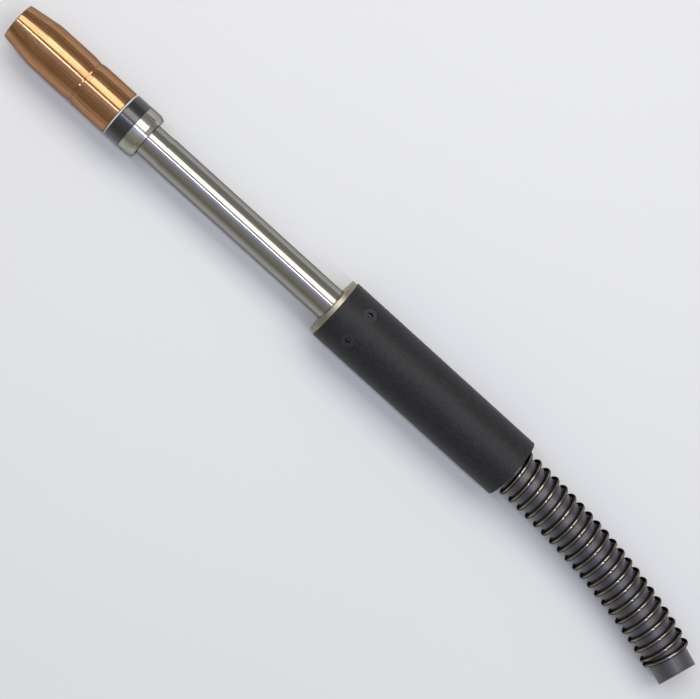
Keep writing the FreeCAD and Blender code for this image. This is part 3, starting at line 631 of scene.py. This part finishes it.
# Wire liners: close-wound steel wire, through which the welding wire slides. One runs from the contact
# tip to the power block, and the other goes on through the cable.

# Bright drawn wire, greyed by graphite: each turn is a thin line of light
liner_wire, tree, shader, along = blank_finish("graphited_liner_wire", "along_wire", "Fac")
place = add(tree, "ShaderNodeCombineXYZ", {"X": along})
patch = add(tree, "ShaderNodeTexNoise", {"Vector": place, "Scale": 1000 / 6, "Detail": 3.0})
tone = add(tree, "ShaderNodeValToRGB", {"Fac": patch}, stops={0.0: "#6E6C69", 1.0: "#A5A29D"})
gloss = add(tree, "ShaderNodeMapRange", {"Value": patch, "To Min": 0.4, "To Max": 0.25})
feed(tree, shader, {"Base Color": tone, "Roughness": gloss, "Metallic": 1.0})

liner_gauge = 0.00115
liner_bore_radius = 0.0012
liners_meet = -0.0042
liner_half_gap = 0.0001
liner_front = 0.26155
torch_line = [Vector((liners_meet + liner_half_gap, 0, 0)), Vector((liner_front, 0, 0))]
rear_line = [Vector((liners_meet - liner_half_gap, 0, 0))] + cable_line
liner_facts = (
    ("torch_liner", "torch_liner_wire", "liner_steel", torch_line),
    ("cable_liner", "cable_liner_wire", "cable_liner_steel", rear_line),
)
for node, name, slot, line in liner_facts:
    length = sum((b - a).length for a, b in zip(line, line[1:]))
    turns = (length - liner_gauge) / liner_gauge
    liner_mesh = made_by(winding, name, line_mesh(name, line), {
        "Turns": turns, "First Turn": 0.0, "Start": liner_gauge / 2, "Pitch": liner_gauge,
        "Coil Radius": liner_bore_radius + liner_gauge / 2, "Wire Radius": liner_gauge / 2,
        "Closing Start": turns + 1, "Closing Turns": 1.0, "Closed By": 0.0,
        "Tang Turns": 0.0, "Tang Slope": 0.0, "Corner": 0.001,
        "Points Per Turn": 14, "Sides": 8, "Finish": liner_wire,
    })
    liner = new_piece(name, liner_mesh, None, "torch")
    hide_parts(node)


# Rear bushing: moulded black nylon, pressed into the rear of the handle. It grips the cable and holds
# the spring's tang.

# Moulded nylon: almost black, with the fine orange-peel skin that a sparked mould leaves
moulded_nylon, tree, shader, place = blank_finish("moulded_black_nylon")
peel = add(tree, "ShaderNodeTexNoise", {"Vector": place, "Scale": 1000 / 0.6, "Detail": 3.0})
tone = add(tree, "ShaderNodeValToRGB", {"Fac": peel}, stops={0.0: "#1C1C1E", 1.0: "#28282A"})
gloss = add(tree, "ShaderNodeMapRange", {"Value": peel, "To Min": 0.42, "To Max": 0.6})
bump = add(tree, "ShaderNodeBump", {"Height": peel, "Strength": 0.6, "Distance": 0.00003})
feed(tree, shader, {"Base Color": tone, "Roughness": gloss, "Normal": bump, "IOR": 1.53})
dress(moulded_nylon, "cable_bushing")


# Handle: black phenolic tube, 38.1 mm across, turned and then rubbed down by hand. It is what a clamp
# or a machine's holder grips.

# Rubbed phenolic: a dry black with hardly any shine, in which the cloth filler makes a fine mottle.
# Faint rings are left from turning, and handling has left faded patches and pale scuffs
rubbed_phenolic, tree, shader, place = blank_finish("rubbed_black_phenolic")
mottle = add(tree, "ShaderNodeTexNoise", {
    "Vector": place, "Scale": 1000 / 1.3, "Detail": 4.0, "Roughness": 0.7})
stretch = add(tree, "ShaderNodeMapping", {"Vector": place, "Scale": (1000 / 0.7, 1000 / 40, 1000 / 40)})
rings = add(tree, "ShaderNodeTexNoise", {"Vector": stretch, "Scale": 1.0, "Detail": 3.0})
cloud = add(tree, "ShaderNodeTexNoise", {"Vector": place, "Scale": 1000 / 22, "Detail": 3.0})
stretch = add(tree, "ShaderNodeMapping", {
    "Vector": place, "Rotation": (0.0, 0.0, 0.5), "Scale": (1000 / 18, 1000 / 0.5, 1000 / 6)})
scuffs = add(tree, "ShaderNodeTexNoise", {"Vector": stretch, "Scale": 1.0, "Detail": 2.0})
scuffs = add(tree, "ShaderNodeMapRange", {"Value": scuffs, "From Min": 0.66, "From Max": 0.8, "To Max": 0.5})
tone = add(tree, "ShaderNodeValToRGB", {"Fac": mottle}, stops={0.36: "#141416", 0.66: "#2F2F31"})
fade = add(tree, "ShaderNodeMath", {0: cloud, 1: 0.6}, operation="MULTIPLY")
faded = add(tree, "ShaderNodeMix", {0: fade, 6: tone, 7: linear("#212124")}, data_type="RGBA")
scuffed = add(tree, "ShaderNodeMix", {
    0: scuffs, 6: faded.outputs[2], 7: linear("#3A3A3D")}, data_type="RGBA")
gloss = add(tree, "ShaderNodeMapRange", {"Value": mottle, "To Min": 0.38, "To Max": 0.62})
relief = add(tree, "ShaderNodeMath", {0: rings, 1: 0.7, 2: mottle}, operation="MULTIPLY_ADD")
bump = add(tree, "ShaderNodeBump", {"Height": relief, "Strength": 0.6, "Distance": 0.00004})
feed(tree, shader, {
    "Base Color": scuffed.outputs[2], "Roughness": gloss, "Normal": bump, "Specular IOR Level": 0.25})
dress(rubbed_phenolic, "handle")


# Handle screws: two countersunk M5 screws of blackened steel with hexagon sockets. They go through
# the handle's wall near its front and sit just below its skin.

screw_place = 0.0512
screw_top = 0.01841
screw_tip = 0.01085
screw_head = 0.0047
screw_shank = 0.0025
socket_width = 0.003
socket_depth = 0.002
first_screw = math.radians(33)
screw_step = math.radians(-60)


def socket_screw(name, top, tip, head, shank, width, depth, around):
    """Mesh of a countersunk screw along Z, with softened edges and a hexagon socket."""
    soft = 0.00015
    point = 0.7 * shank
    socket_flare = 1.06
    drill_point = 0.15 * width
    stem = [(tip, point), (tip + 0.3 * shank, shank), (top - (head - shank), shank)]
    stem += [(top - 2 * soft, head - soft), (top - soft, head), (top, head - soft)]
    shell = bmesh.new()
    turns = [math.tau * k / around for k in range(around)]
    rings = []
    for height, r in stem:
        rings.append([shell.verts.new((r * math.cos(a), r * math.sin(a), height)) for a in turns])
    for grow, height in ((socket_flare, top), (1.0, top - soft), (1.0, top - depth)):
        spots = []
        for a in turns:
            reach = grow * width / 2 / math.cos((a + math.pi / 6) % (math.pi / 3) - math.pi / 6)
            spots.append((reach * math.cos(a), reach * math.sin(a)))
        rings.append([shell.verts.new((x, y, height)) for x, y in spots])
    for lower, upper in zip(rings, rings[1:]):
        for k in range(around):
            m = (k + 1) % around
            shell.faces.new((lower[k], lower[m], upper[m], upper[k]))
    floor = shell.verts.new((0, 0, top - depth - drill_point))
    foot = shell.verts.new((0, 0, tip))
    for k in range(around):
        m = (k + 1) % around
        shell.faces.new((rings[-1][k], rings[-1][m], floor))
        shell.faces.new((rings[0][m], rings[0][k], foot))
    bmesh.ops.recalc_face_normals(shell, faces=shell.faces)
    mesh = bpy.data.meshes.new(name)
    shell.to_mesh(mesh)
    shell.free()
    return mesh


def screws_around_tree():
    """Geometry Nodes tree that sets copies of a screw round the torch's axis."""
    tree, given = blank_tree("screws_around", Int=("Count",), Float=("Place", "First Angle", "Step"))
    spot = add(tree, "ShaderNodeCombineXYZ", {"X": given["Place"]})
    spots = add(tree, "GeometryNodePoints", {"Count": given["Count"], "Position": spot})
    angle = add(tree, "ShaderNodeMath", {
        0: add(tree, "GeometryNodeInputIndex"), 1: given["Step"], 2: given["First Angle"],
    }, operation="MULTIPLY_ADD")
    turn = add(tree, "ShaderNodeCombineXYZ", {"X": angle})
    turn = add(tree, "FunctionNodeEulerToRotation", {"Euler": turn})
    screws = add(tree, "GeometryNodeInstanceOnPoints", {
        "Points": spots, "Instance": given["Geometry"], "Rotation": turn})
    finish_tree(tree, screws, given["Finish"])
    return tree


def along_and_out(tree, place):
    """Two sockets for a place on the torch: how far along its axis it is, and how far out from it."""
    part = add(tree, "ShaderNodeSeparateXYZ", {"Vector": place}).outputs
    span = add(tree, "ShaderNodeCombineXYZ", {"X": part["Y"], "Y": part["Z"]})
    return part["X"], add(tree, "ShaderNodeVectorMath", {0: span}, operation="LENGTH").outputs["Value"]


# Black oxide on steel: a dry, even black, about as dark as the handle round it. Down in the sockets,
# below a distance from the torch's axis, a trace of oil is left, which takes a small glint
oil_full = 0.0180
oil_end = 0.0183
black_oxide, tree, shader, place = blank_finish("black_oxide_steel")
worn = add(tree, "ShaderNodeTexNoise", {"Vector": place, "Scale": 1000 / 1.2, "Detail": 4.0})
tone = add(tree, "ShaderNodeValToRGB", {"Fac": worn}, stops={0.3: "#48484C", 0.8: "#525256"})
out = along_and_out(tree, place)[1]
oily = add(tree, "ShaderNodeMapRange", {
    "Value": out, "From Min": oil_full, "From Max": oil_end, "To Min": -0.30, "To Max": 0.0})
gloss = add(tree, "ShaderNodeMapRange", {"Value": worn, "To Min": 0.52, "To Max": 0.44})
gloss = add(tree, "ShaderNodeMath", {0: gloss, 1: oily}, operation="ADD")
feed(tree, shader, {"Base Color": tone, "Roughness": gloss, "Metallic": 1.0})

screw_mesh = socket_screw(
    "handle_screw", screw_top, screw_tip, screw_head, screw_shank, socket_width, socket_depth, 48)
screws_mesh = made_by(screws_around_tree(), "handle_socket_screws", screw_mesh, {
    "Count": 2, "Place": screw_place, "First Angle": first_screw, "Step": screw_step,
    "Finish": black_oxide,
})
screws = new_piece("handle_socket_screws", screws_mesh, None, "torch")
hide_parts("handle_screws")


# Power block and what is fixed to it: a turned brass block that joins the torch and the cable, with a
# stud screwed into its rear, a fluted sleeve where the liners meet, and the gas diffuser in front.

# Machined brass: warm yellow, with fine tool rings across the torch's axis and a dull film in patches
machined_brass, tree, shader, place = blank_finish("machined_brass")
stretch = add(tree, "ShaderNodeMapping", {"Vector": place, "Scale": (1000 / 0.25, 1000 / 60, 1000 / 60)})
rings = add(tree, "ShaderNodeTexNoise", {"Vector": stretch, "Scale": 1.0, "Detail": 2.0})
film = add(tree, "ShaderNodeTexNoise", {"Vector": place, "Scale": 1000 / 7, "Detail": 3.0})
tone = add(tree, "ShaderNodeValToRGB", {"Fac": film}, stops={0.3: "#A98443", 0.7: "#CFAE66"})
gloss = add(tree, "ShaderNodeMapRange", {"Value": film, "To Min": 0.34, "To Max": 0.18})
bump = add(tree, "ShaderNodeBump", {"Height": rings, "Strength": 0.5, "Distance": 0.000006})
feed(tree, shader, {"Base Color": tone, "Roughness": gloss, "Normal": bump, "Metallic": 1.0})
dress(machined_brass, "power_block", "cable_stud", "liner_coupler", "gas_diffuser")
dress(black_oxide, "block_set_screws")


# Copper pieces inside: the drawn conductor tube, the pressed ferrule on the strands, the soft sealing
# washer, and the contact tip, which is drawn rod with a bore for the wire.

# Drawn copper: pink-brown, with drawing lines along the torch and a thin brown film
drawn_copper, tree, shader, place = blank_finish("drawn_copper")
stretch = add(tree, "ShaderNodeMapping", {"Vector": place, "Scale": (1000 / 50, 1000 / 0.5, 1000 / 0.5)})
lines = add(tree, "ShaderNodeTexNoise", {"Vector": stretch, "Scale": 1.0, "Detail": 2.0})
film = add(tree, "ShaderNodeTexNoise", {"Vector": place, "Scale": 1000 / 9, "Detail": 3.0})
tone = add(tree, "ShaderNodeValToRGB", {"Fac": film}, stops={0.3: "#A1684A", 0.7: "#C98C69"})
gloss = add(tree, "ShaderNodeMapRange", {"Value": lines, "To Min": 0.2, "To Max": 0.34})
bump = add(tree, "ShaderNodeBump", {"Height": lines, "Strength": 0.5, "Distance": 0.000006})
feed(tree, shader, {"Base Color": tone, "Roughness": gloss, "Normal": bump, "Metallic": 1.0})
dress(drawn_copper, "conductor_tube", "crimp_ferrule", "stud_washer", "contact_tip")


# Barrel insulation: a glass-fibre tube between the conductor and the barrel, ground to size.

# Glass-fibre tube: straw-coloured resin, in which the wound yarn shows as a fine slanting weave
glass_tube, tree, shader, place = blank_finish("wound_glass_fibre_tube")
stretch = add(tree, "ShaderNodeMapping", {
    "Vector": place, "Rotation": (0.0, 0.5, 0.5), "Scale": (1000 / 0.8, 1000 / 12, 1000 / 12)})
yarn = add(tree, "ShaderNodeTexNoise", {"Vector": stretch, "Scale": 1.0, "Detail": 2.0})
tone = add(tree, "ShaderNodeValToRGB", {"Fac": yarn}, stops={0.35: "#B8A87A", 0.65: "#D6C99F"})
bump = add(tree, "ShaderNodeBump", {"Height": yarn, "Strength": 0.4, "Distance": 0.00003})
feed(tree, shader, {"Base Color": tone, "Roughness": 0.45, "Normal": bump})
dress(glass_tube, "barrel_insulation")


# Front bushing: nickel-plated brass, pressed into the front of the handle. Its flange closes the
# handle and the barrel comes out of its middle.

# Bright nickel over turned brass, dulled by handling: a grey metal with a breath of yellow and a broad,
# soft shine, and soft turning rings that the plating has rounded off
bright_nickel, tree, shader, place = blank_finish("bright_nickel_plate")
along, out = along_and_out(tree, place)
across = add(tree, "ShaderNodeCombineXYZ", {"X": along, "Y": out})
rings = add(tree, "ShaderNodeTexNoise", {"Vector": across, "Scale": 1000 / 0.4, "Detail": 2.0})
film = add(tree, "ShaderNodeTexNoise", {"Vector": place, "Scale": 1000 / 6, "Detail": 4.0})
tone = add(tree, "ShaderNodeValToRGB", {"Fac": film}, stops={0.3: "#948B7A", 0.7: "#A8A08E"})
gloss = add(tree, "ShaderNodeMapRange", {"Value": film, "To Min": 0.48, "To Max": 0.40})
bump = add(tree, "ShaderNodeBump", {"Height": rings, "Strength": 0.5, "Distance": 0.000006})
feed(tree, shader, {"Base Color": tone, "Roughness": gloss, "Normal": bump, "Metallic": 1.0})
dress(bright_nickel, "front_bushing")


# Barrel: welded stainless tube, polished on a belt, and swaged a little smaller in front. It is heated
# in use, and this one is new.

# Belt-polished stainless steel: a cool mirror with hair-fine rings round it, a touch duller in bands
polished_stainless, tree, shader, place = blank_finish("belt_polished_stainless")
stretch = add(tree, "ShaderNodeMapping", {"Vector": place, "Scale": (1000 / 0.5, 1000 / 80, 1000 / 80)})
rings = add(tree, "ShaderNodeTexNoise", {"Vector": stretch, "Scale": 1.0, "Detail": 3.0})
stretch = add(tree, "ShaderNodeMapping", {"Vector": place, "Scale": (1000 / 9, 1000 / 14, 1000 / 14)})
bands = add(tree, "ShaderNodeTexNoise", {"Vector": stretch, "Scale": 1.0, "Detail": 3.0})
tone = add(tree, "ShaderNodeValToRGB", {"Fac": rings}, stops={0.3: "#9D9B95", 0.7: "#A7A59F"})
gloss = add(tree, "ShaderNodeMapRange", {
    "Value": bands, "From Min": 0.3, "From Max": 0.75, "To Min": 0.07, "To Max": 0.15})
bump = add(tree, "ShaderNodeBump", {"Height": rings, "Strength": 0.4, "Distance": 0.000003})
feed(tree, shader, {
    "Base Color": tone, "Roughness": gloss, "Normal": bump, "Metallic": 1.0,
    "Specular Tint": linear("#A0A0A0")})
dress(polished_stainless, "barrel_tube")


# Collar: a turned stainless ring pressed over the neck, with a bevel towards the handle. The
# insulator stands against its front.

# Satin-turned stainless steel: the same steel, left with its turning rings, so its light is broad. Its
# rear face, against the barrel, is painted dark as painted shade for the joint there
# Where the painted shade on the collar's rear face is full, and where it ends, along the torch
painted_shade_full = 0.2080
painted_shade_end = 0.2083
satin_stainless, tree, shader, place = blank_finish("satin_turned_stainless")
along, out = along_and_out(tree, place)
across = add(tree, "ShaderNodeCombineXYZ", {"X": along, "Y": out})
rings = add(tree, "ShaderNodeTexNoise", {"Vector": across, "Scale": 1000 / 0.35, "Detail": 2.0})
film = add(tree, "ShaderNodeTexNoise", {"Vector": place, "Scale": 1000 / 5, "Detail": 4.0})
tone = add(tree, "ShaderNodeValToRGB", {"Fac": film}, stops={0.3: "#A9A69D", 0.7: "#BBB8AF"})
# Painted shade: the rear face is mixed towards near-black, standing in for the shade in the gap at the
# barrel
painted_edge_shade = add(tree, "ShaderNodeMapRange", {
    "Value": along, "From Min": painted_shade_full, "From Max": painted_shade_end, "To Min": 0.75, "To Max": 0.0})
painted_shade_colour = add(tree, "ShaderNodeMix", {0: painted_edge_shade, 6: tone, 7: linear("#2B2927")}, data_type="RGBA")
gloss = add(tree, "ShaderNodeMapRange", {"Value": film, "To Min": 0.12, "To Max": 0.19})
bump = add(tree, "ShaderNodeBump", {"Height": rings, "Strength": 0.5, "Distance": 0.000008})
feed(tree, shader, {
    "Base Color": painted_shade_colour.outputs[2], "Roughness": gloss, "Normal": bump, "Metallic": 1.0,
    "Specular Tint": linear("#A0A0A0")})
dress(satin_stainless, "barrel_collar")


# Insulator: compression-moulded phenolic. Its ring keeps the nozzle off the barrel, and its spigot
# carries the nozzle on a split spring ring.

# Moulded phenolic: black and half-glossy, with a fine grain from its filler
moulded_phenolic, tree, shader, place = blank_finish("moulded_black_phenolic")
grain = add(tree, "ShaderNodeTexNoise", {"Vector": place, "Scale": 1000 / 0.7, "Detail": 3.0})
cloud = add(tree, "ShaderNodeTexNoise", {"Vector": place, "Scale": 1000 / 6, "Detail": 3.0})
tone = add(tree, "ShaderNodeValToRGB", {"Fac": grain}, stops={0.35: "#151516", 0.75: "#232222"})
gloss = add(tree, "ShaderNodeMapRange", {"Value": cloud, "To Min": 0.15, "To Max": 0.25})
bump = add(tree, "ShaderNodeBump", {"Height": grain, "Strength": 0.5, "Distance": 0.000012})
feed(tree, shader, {
    "Base Color": tone, "Roughness": gloss, "Normal": bump, "IOR": 1.6, "Specular IOR Level": 0.7})
dress(moulded_phenolic, "nozzle_insulator")


# Nozzle clip: a split ring of round spring steel in the spigot's groove. It grips the nozzle's sleeve.

# Spring steel as drawn: grey and fairly bright, with a faint blue-brown from tempering
tempered_wire, tree, shader, place = blank_finish("tempered_spring_steel")
film = add(tree, "ShaderNodeTexNoise", {"Vector": place, "Scale": 1000 / 2.5, "Detail": 3.0})
tone = add(tree, "ShaderNodeValToRGB", {"Fac": film}, stops={0.0: "#77746F", 1.0: "#9FA0A4"})
gloss = add(tree, "ShaderNodeMapRange", {"Value": film, "To Min": 0.3, "To Max": 0.18})
feed(tree, shader, {"Base Color": tone, "Roughness": gloss, "Metallic": 1.0})
dress(tempered_wire, "nozzle_clip")


# Nozzle sleeve: a pale insulating tube of glass fibre and resin, pressed into the nozzle. It comes off
# with the nozzle, and its rim shows as a thin light line behind it.

# Pressed glass composite: chalky, green-white and dull, with a slightly fibrous rim
pale_composite, tree, shader, place = blank_finish("pale_glass_composite")
fibre = add(tree, "ShaderNodeTexNoise", {"Vector": place, "Scale": 1000 / 0.5, "Detail": 3.0})
tone = add(tree, "ShaderNodeValToRGB", {"Fac": fibre}, stops={0.3: "#C6CBBE", 0.7: "#DDE0D6"})
bump = add(tree, "ShaderNodeBump", {"Height": fibre, "Strength": 0.5, "Distance": 0.00003})
feed(tree, shader, {"Base Color": tone, "Roughness": 0.6, "Normal": bump})
dress(pale_composite, "nozzle_sleeve")


# Nozzle: drawn and turned copper, 75 mm long, with a tapered mouth. Eight narrow jaws have pressed it
# in, in front of the sleeve, which keeps the sleeve in. Each jaw has left a thin trench in the dished
# ring, and between two jaws the copper rises in a small bump.

nozzle_rear = 0.2287
nozzle_mouth = 0.30415
nozzle_taper = 0.28415
nozzle_radius = 0.0143
nozzle_bore = 0.01285
mouth_radius = 0.0113
mouth_bore = 0.0095
taper_slope = (nozzle_radius - mouth_radius) / (nozzle_mouth - nozzle_taper)
taper_blend = 0.0025
edge = 0.0003
lip = 0.0006
crimp_place = 0.2544
crimp_depth = 0.00066
inner_dent = 1.3 * crimp_depth
crimp_behind = 0.0032
crimp_ahead = 0.0053
crimp_sharpness = 1.3
jaw_count = 8
jaw_radius = 0.01338
jaw_flatness = 0.35
jaw_half = 0.00035
jaw_wall = 0.00022
bump_height = 0.00022
bump_half = 0.0006
first_bump = math.radians(16.5)


def eased(share):
    """A share from 0 to 1, eased at both ends."""
    share = min(max(share, 0.0), 1.0)
    return share * share * (3 - 2 * share)


def nozzle_skin(x, angle):
    """Radius of the nozzle's outside at a distance along the torch and an angle from its top."""
    r = nozzle_radius - taper_slope * max(0.0, x - nozzle_taper)
    if abs(x - nozzle_taper) < taper_blend:
        r = nozzle_radius - taper_slope * (x - nozzle_taper + taper_blend) ** 2 / (4 * taper_blend)
    gap = x - crimp_place
    away = abs(gap) / (crimp_ahead if gap > 0 else crimp_behind)
    if away >= 1:
        return r
    dished = r - crimp_depth * (1 - away) ** crimp_sharpness
    step = math.tau / jaw_count
    off = (angle - first_bump) % step - step / 2
    trench = min(jaw_radius * (1 + jaw_flatness * (1 / math.cos(off) - 1)), dished)
    bump = bump_height * math.exp(-((abs(off) - step / 2) * r / bump_half) ** 2)
    return dished + (trench + bump - dished) * (1 - eased((abs(gap) - jaw_half) / jaw_wall))


def nozzle_inside(x):
    """Radius of the nozzle's bore at a distance along the torch. The dish is deeper on this side."""
    gap = x - crimp_place
    side = crimp_ahead if gap > 0 else crimp_behind
    dent = inner_dent * max(0.0, 1 - abs(gap) / side) ** crimp_sharpness
    taper = max(0.0, (x - nozzle_taper) / (nozzle_mouth - nozzle_taper))
    return nozzle_bore - dent - (nozzle_bore - mouth_bore) * taper


def stations(*stretches):
    """Distances along the torch, from stretches of a start, an end and a count of steps."""
    found = []
    for start, end, count in stretches:
        found += [start + (end - start) * i / count for i in range(count)]
    return found + [stretches[-1][1]]


jaw_reach = 0.0007
blend_reach = 0.0026
crimp_rear = crimp_place - crimp_behind
crimp_front = crimp_place + crimp_ahead
outside = stations(
    (nozzle_rear + edge, crimp_rear, 8),
    (crimp_rear, crimp_place - jaw_reach, 14),
    (crimp_place - jaw_reach, crimp_place + jaw_reach, 26),
    (crimp_place + jaw_reach, crimp_front, 18),
    (crimp_front, nozzle_taper - blend_reach, 10),
    (nozzle_taper - blend_reach, nozzle_taper + blend_reach, 12),
    (nozzle_taper + blend_reach, nozzle_mouth - lip, 8),
)
inside = stations(
    (nozzle_mouth - edge, nozzle_taper, 8),
    (nozzle_taper, crimp_front, 4),
    (crimp_front, crimp_place, 10),
    (crimp_place, crimp_rear, 10),
    (crimp_rear, nozzle_rear + edge, 4),
)
around = 240
angles = [math.tau * k / around for k in range(around)]
profile = [[(nozzle_rear, nozzle_radius - edge) for a in angles]]
profile += [[(nozzle_rear + edge / 3, nozzle_radius - edge / 3) for a in angles]]
profile += [[(x, nozzle_skin(x, a)) for a in angles] for x in outside]
for turn in (30, 60, 90):
    step = lip * math.sin(math.radians(turn))
    drop = lip * (1 - math.cos(math.radians(turn)))
    reach = nozzle_skin(nozzle_mouth - lip, 0) - drop - taper_slope * step
    profile.append([(nozzle_mouth - lip + step, reach) for a in angles])
profile += [[(nozzle_mouth, mouth_bore + edge) for a in angles]]
profile += [[(x, nozzle_inside(x)) for a in angles] for x in inside]
profile += [[(nozzle_rear, nozzle_bore + edge) for a in angles]]
points = []
for ring in profile:
    points += [(x, r * math.sin(a), r * math.cos(a)) for (x, r), a in zip(ring, angles)]
nozzle_mesh = ring_shell("copper_gas_nozzle", points, around)

# Turned and buffed copper: orange-brown metal that mirrors the lamps with a slight grain. Long drawing
# streaks run towards the mouth, hair-fine turning rings cross them, and air has browned it in clouds.
# Both rims, found by how far they are from its middle, are painted dark brown as painted shade for
# the dark edges. A thin clear lacquer whitens the lamps in it a little
rim_shade_start = 0.03725
rim_shade_full = 0.0376
buffed_copper, tree, shader, place = blank_finish("turned_buffed_copper")
stretch = add(tree, "ShaderNodeMapping", {"Vector": place, "Scale": (1000 / 45, 1000 / 0.9, 1000 / 0.9)})
streaks = add(tree, "ShaderNodeTexNoise", {"Vector": stretch, "Scale": 1.0, "Detail": 3.0})
stretch = add(tree, "ShaderNodeMapping", {"Vector": place, "Scale": (1000 / 0.5, 1000 / 30, 1000 / 30)})
rings = add(tree, "ShaderNodeTexNoise", {"Vector": stretch, "Scale": 1.0, "Detail": 2.0})
cloud = add(tree, "ShaderNodeTexNoise", {"Vector": place, "Scale": 1000 / 11, "Detail": 4.0})
grain = add(tree, "ShaderNodeTexNoise", {"Vector": place, "Scale": 1000 / 0.9, "Detail": 3.0})
tone = add(tree, "ShaderNodeValToRGB", {"Fac": cloud}, stops={0.32: "#AE7E55", 0.68: "#BE8C62"})
drawn = add(tree, "ShaderNodeMapRange", {
    "Value": streaks, "From Min": 0.40, "From Max": 0.66, "To Max": 0.8})
bright = add(tree, "ShaderNodeMapRange", {"Value": grain, "From Min": 0.50, "From Max": 0.68, "To Max": 0.5})
buffed = add(tree, "ShaderNodeMix", {0: bright, 6: tone, 7: linear("#D0A67F")}, data_type="RGBA")
colour = add(tree, "ShaderNodeMix", {
    0: drawn, 6: buffed.outputs[2], 7: linear("#9A6B47")}, data_type="RGBA")
# Painted shade: both rims of the nozzle are mixed towards dark brown, by their distance from its middle
along = add(tree, "ShaderNodeSeparateXYZ", {"Vector": place}).outputs["X"]
off = add(tree, "ShaderNodeMath", {
    0: along, 1: (nozzle_rear + nozzle_mouth) / 2}, operation="SUBTRACT")
off = add(tree, "ShaderNodeMath", {0: off}, operation="ABSOLUTE")
painted_edge_shade = add(tree, "ShaderNodeMapRange", {
    "Value": off, "From Min": rim_shade_start, "From Max": rim_shade_full, "To Max": 0.75})
rim_shaded_colour = add(tree, "ShaderNodeMix", {
    0: painted_edge_shade, 6: colour.outputs[2], 7: linear("#4A2E1C")}, data_type="RGBA")
gloss = add(tree, "ShaderNodeMapRange", {
    "Value": streaks, "From Min": 0.3, "From Max": 0.7, "To Min": 0.07, "To Max": 0.16})
relief = add(tree, "ShaderNodeMath", {0: grain, 1: 0.12, 2: rings}, operation="MULTIPLY_ADD")
relief = add(tree, "ShaderNodeMath", {0: streaks, 1: 0.5, 2: relief}, operation="MULTIPLY_ADD")
bump = add(tree, "ShaderNodeBump", {"Height": relief, "Strength": 0.8, "Distance": 0.000005})
feed(tree, shader, {
    "Base Color": rim_shaded_colour.outputs[2], "Roughness": gloss, "Normal": bump, "Metallic": 1.0,
    "Specular Tint": linear("#A0A0A0"), "Coat Weight": 0.3, "Coat Roughness": 0.10})
nozzle = new_piece("copper_gas_nozzle", nozzle_mesh, buffed_copper, "nozzle")
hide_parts("nozzle")
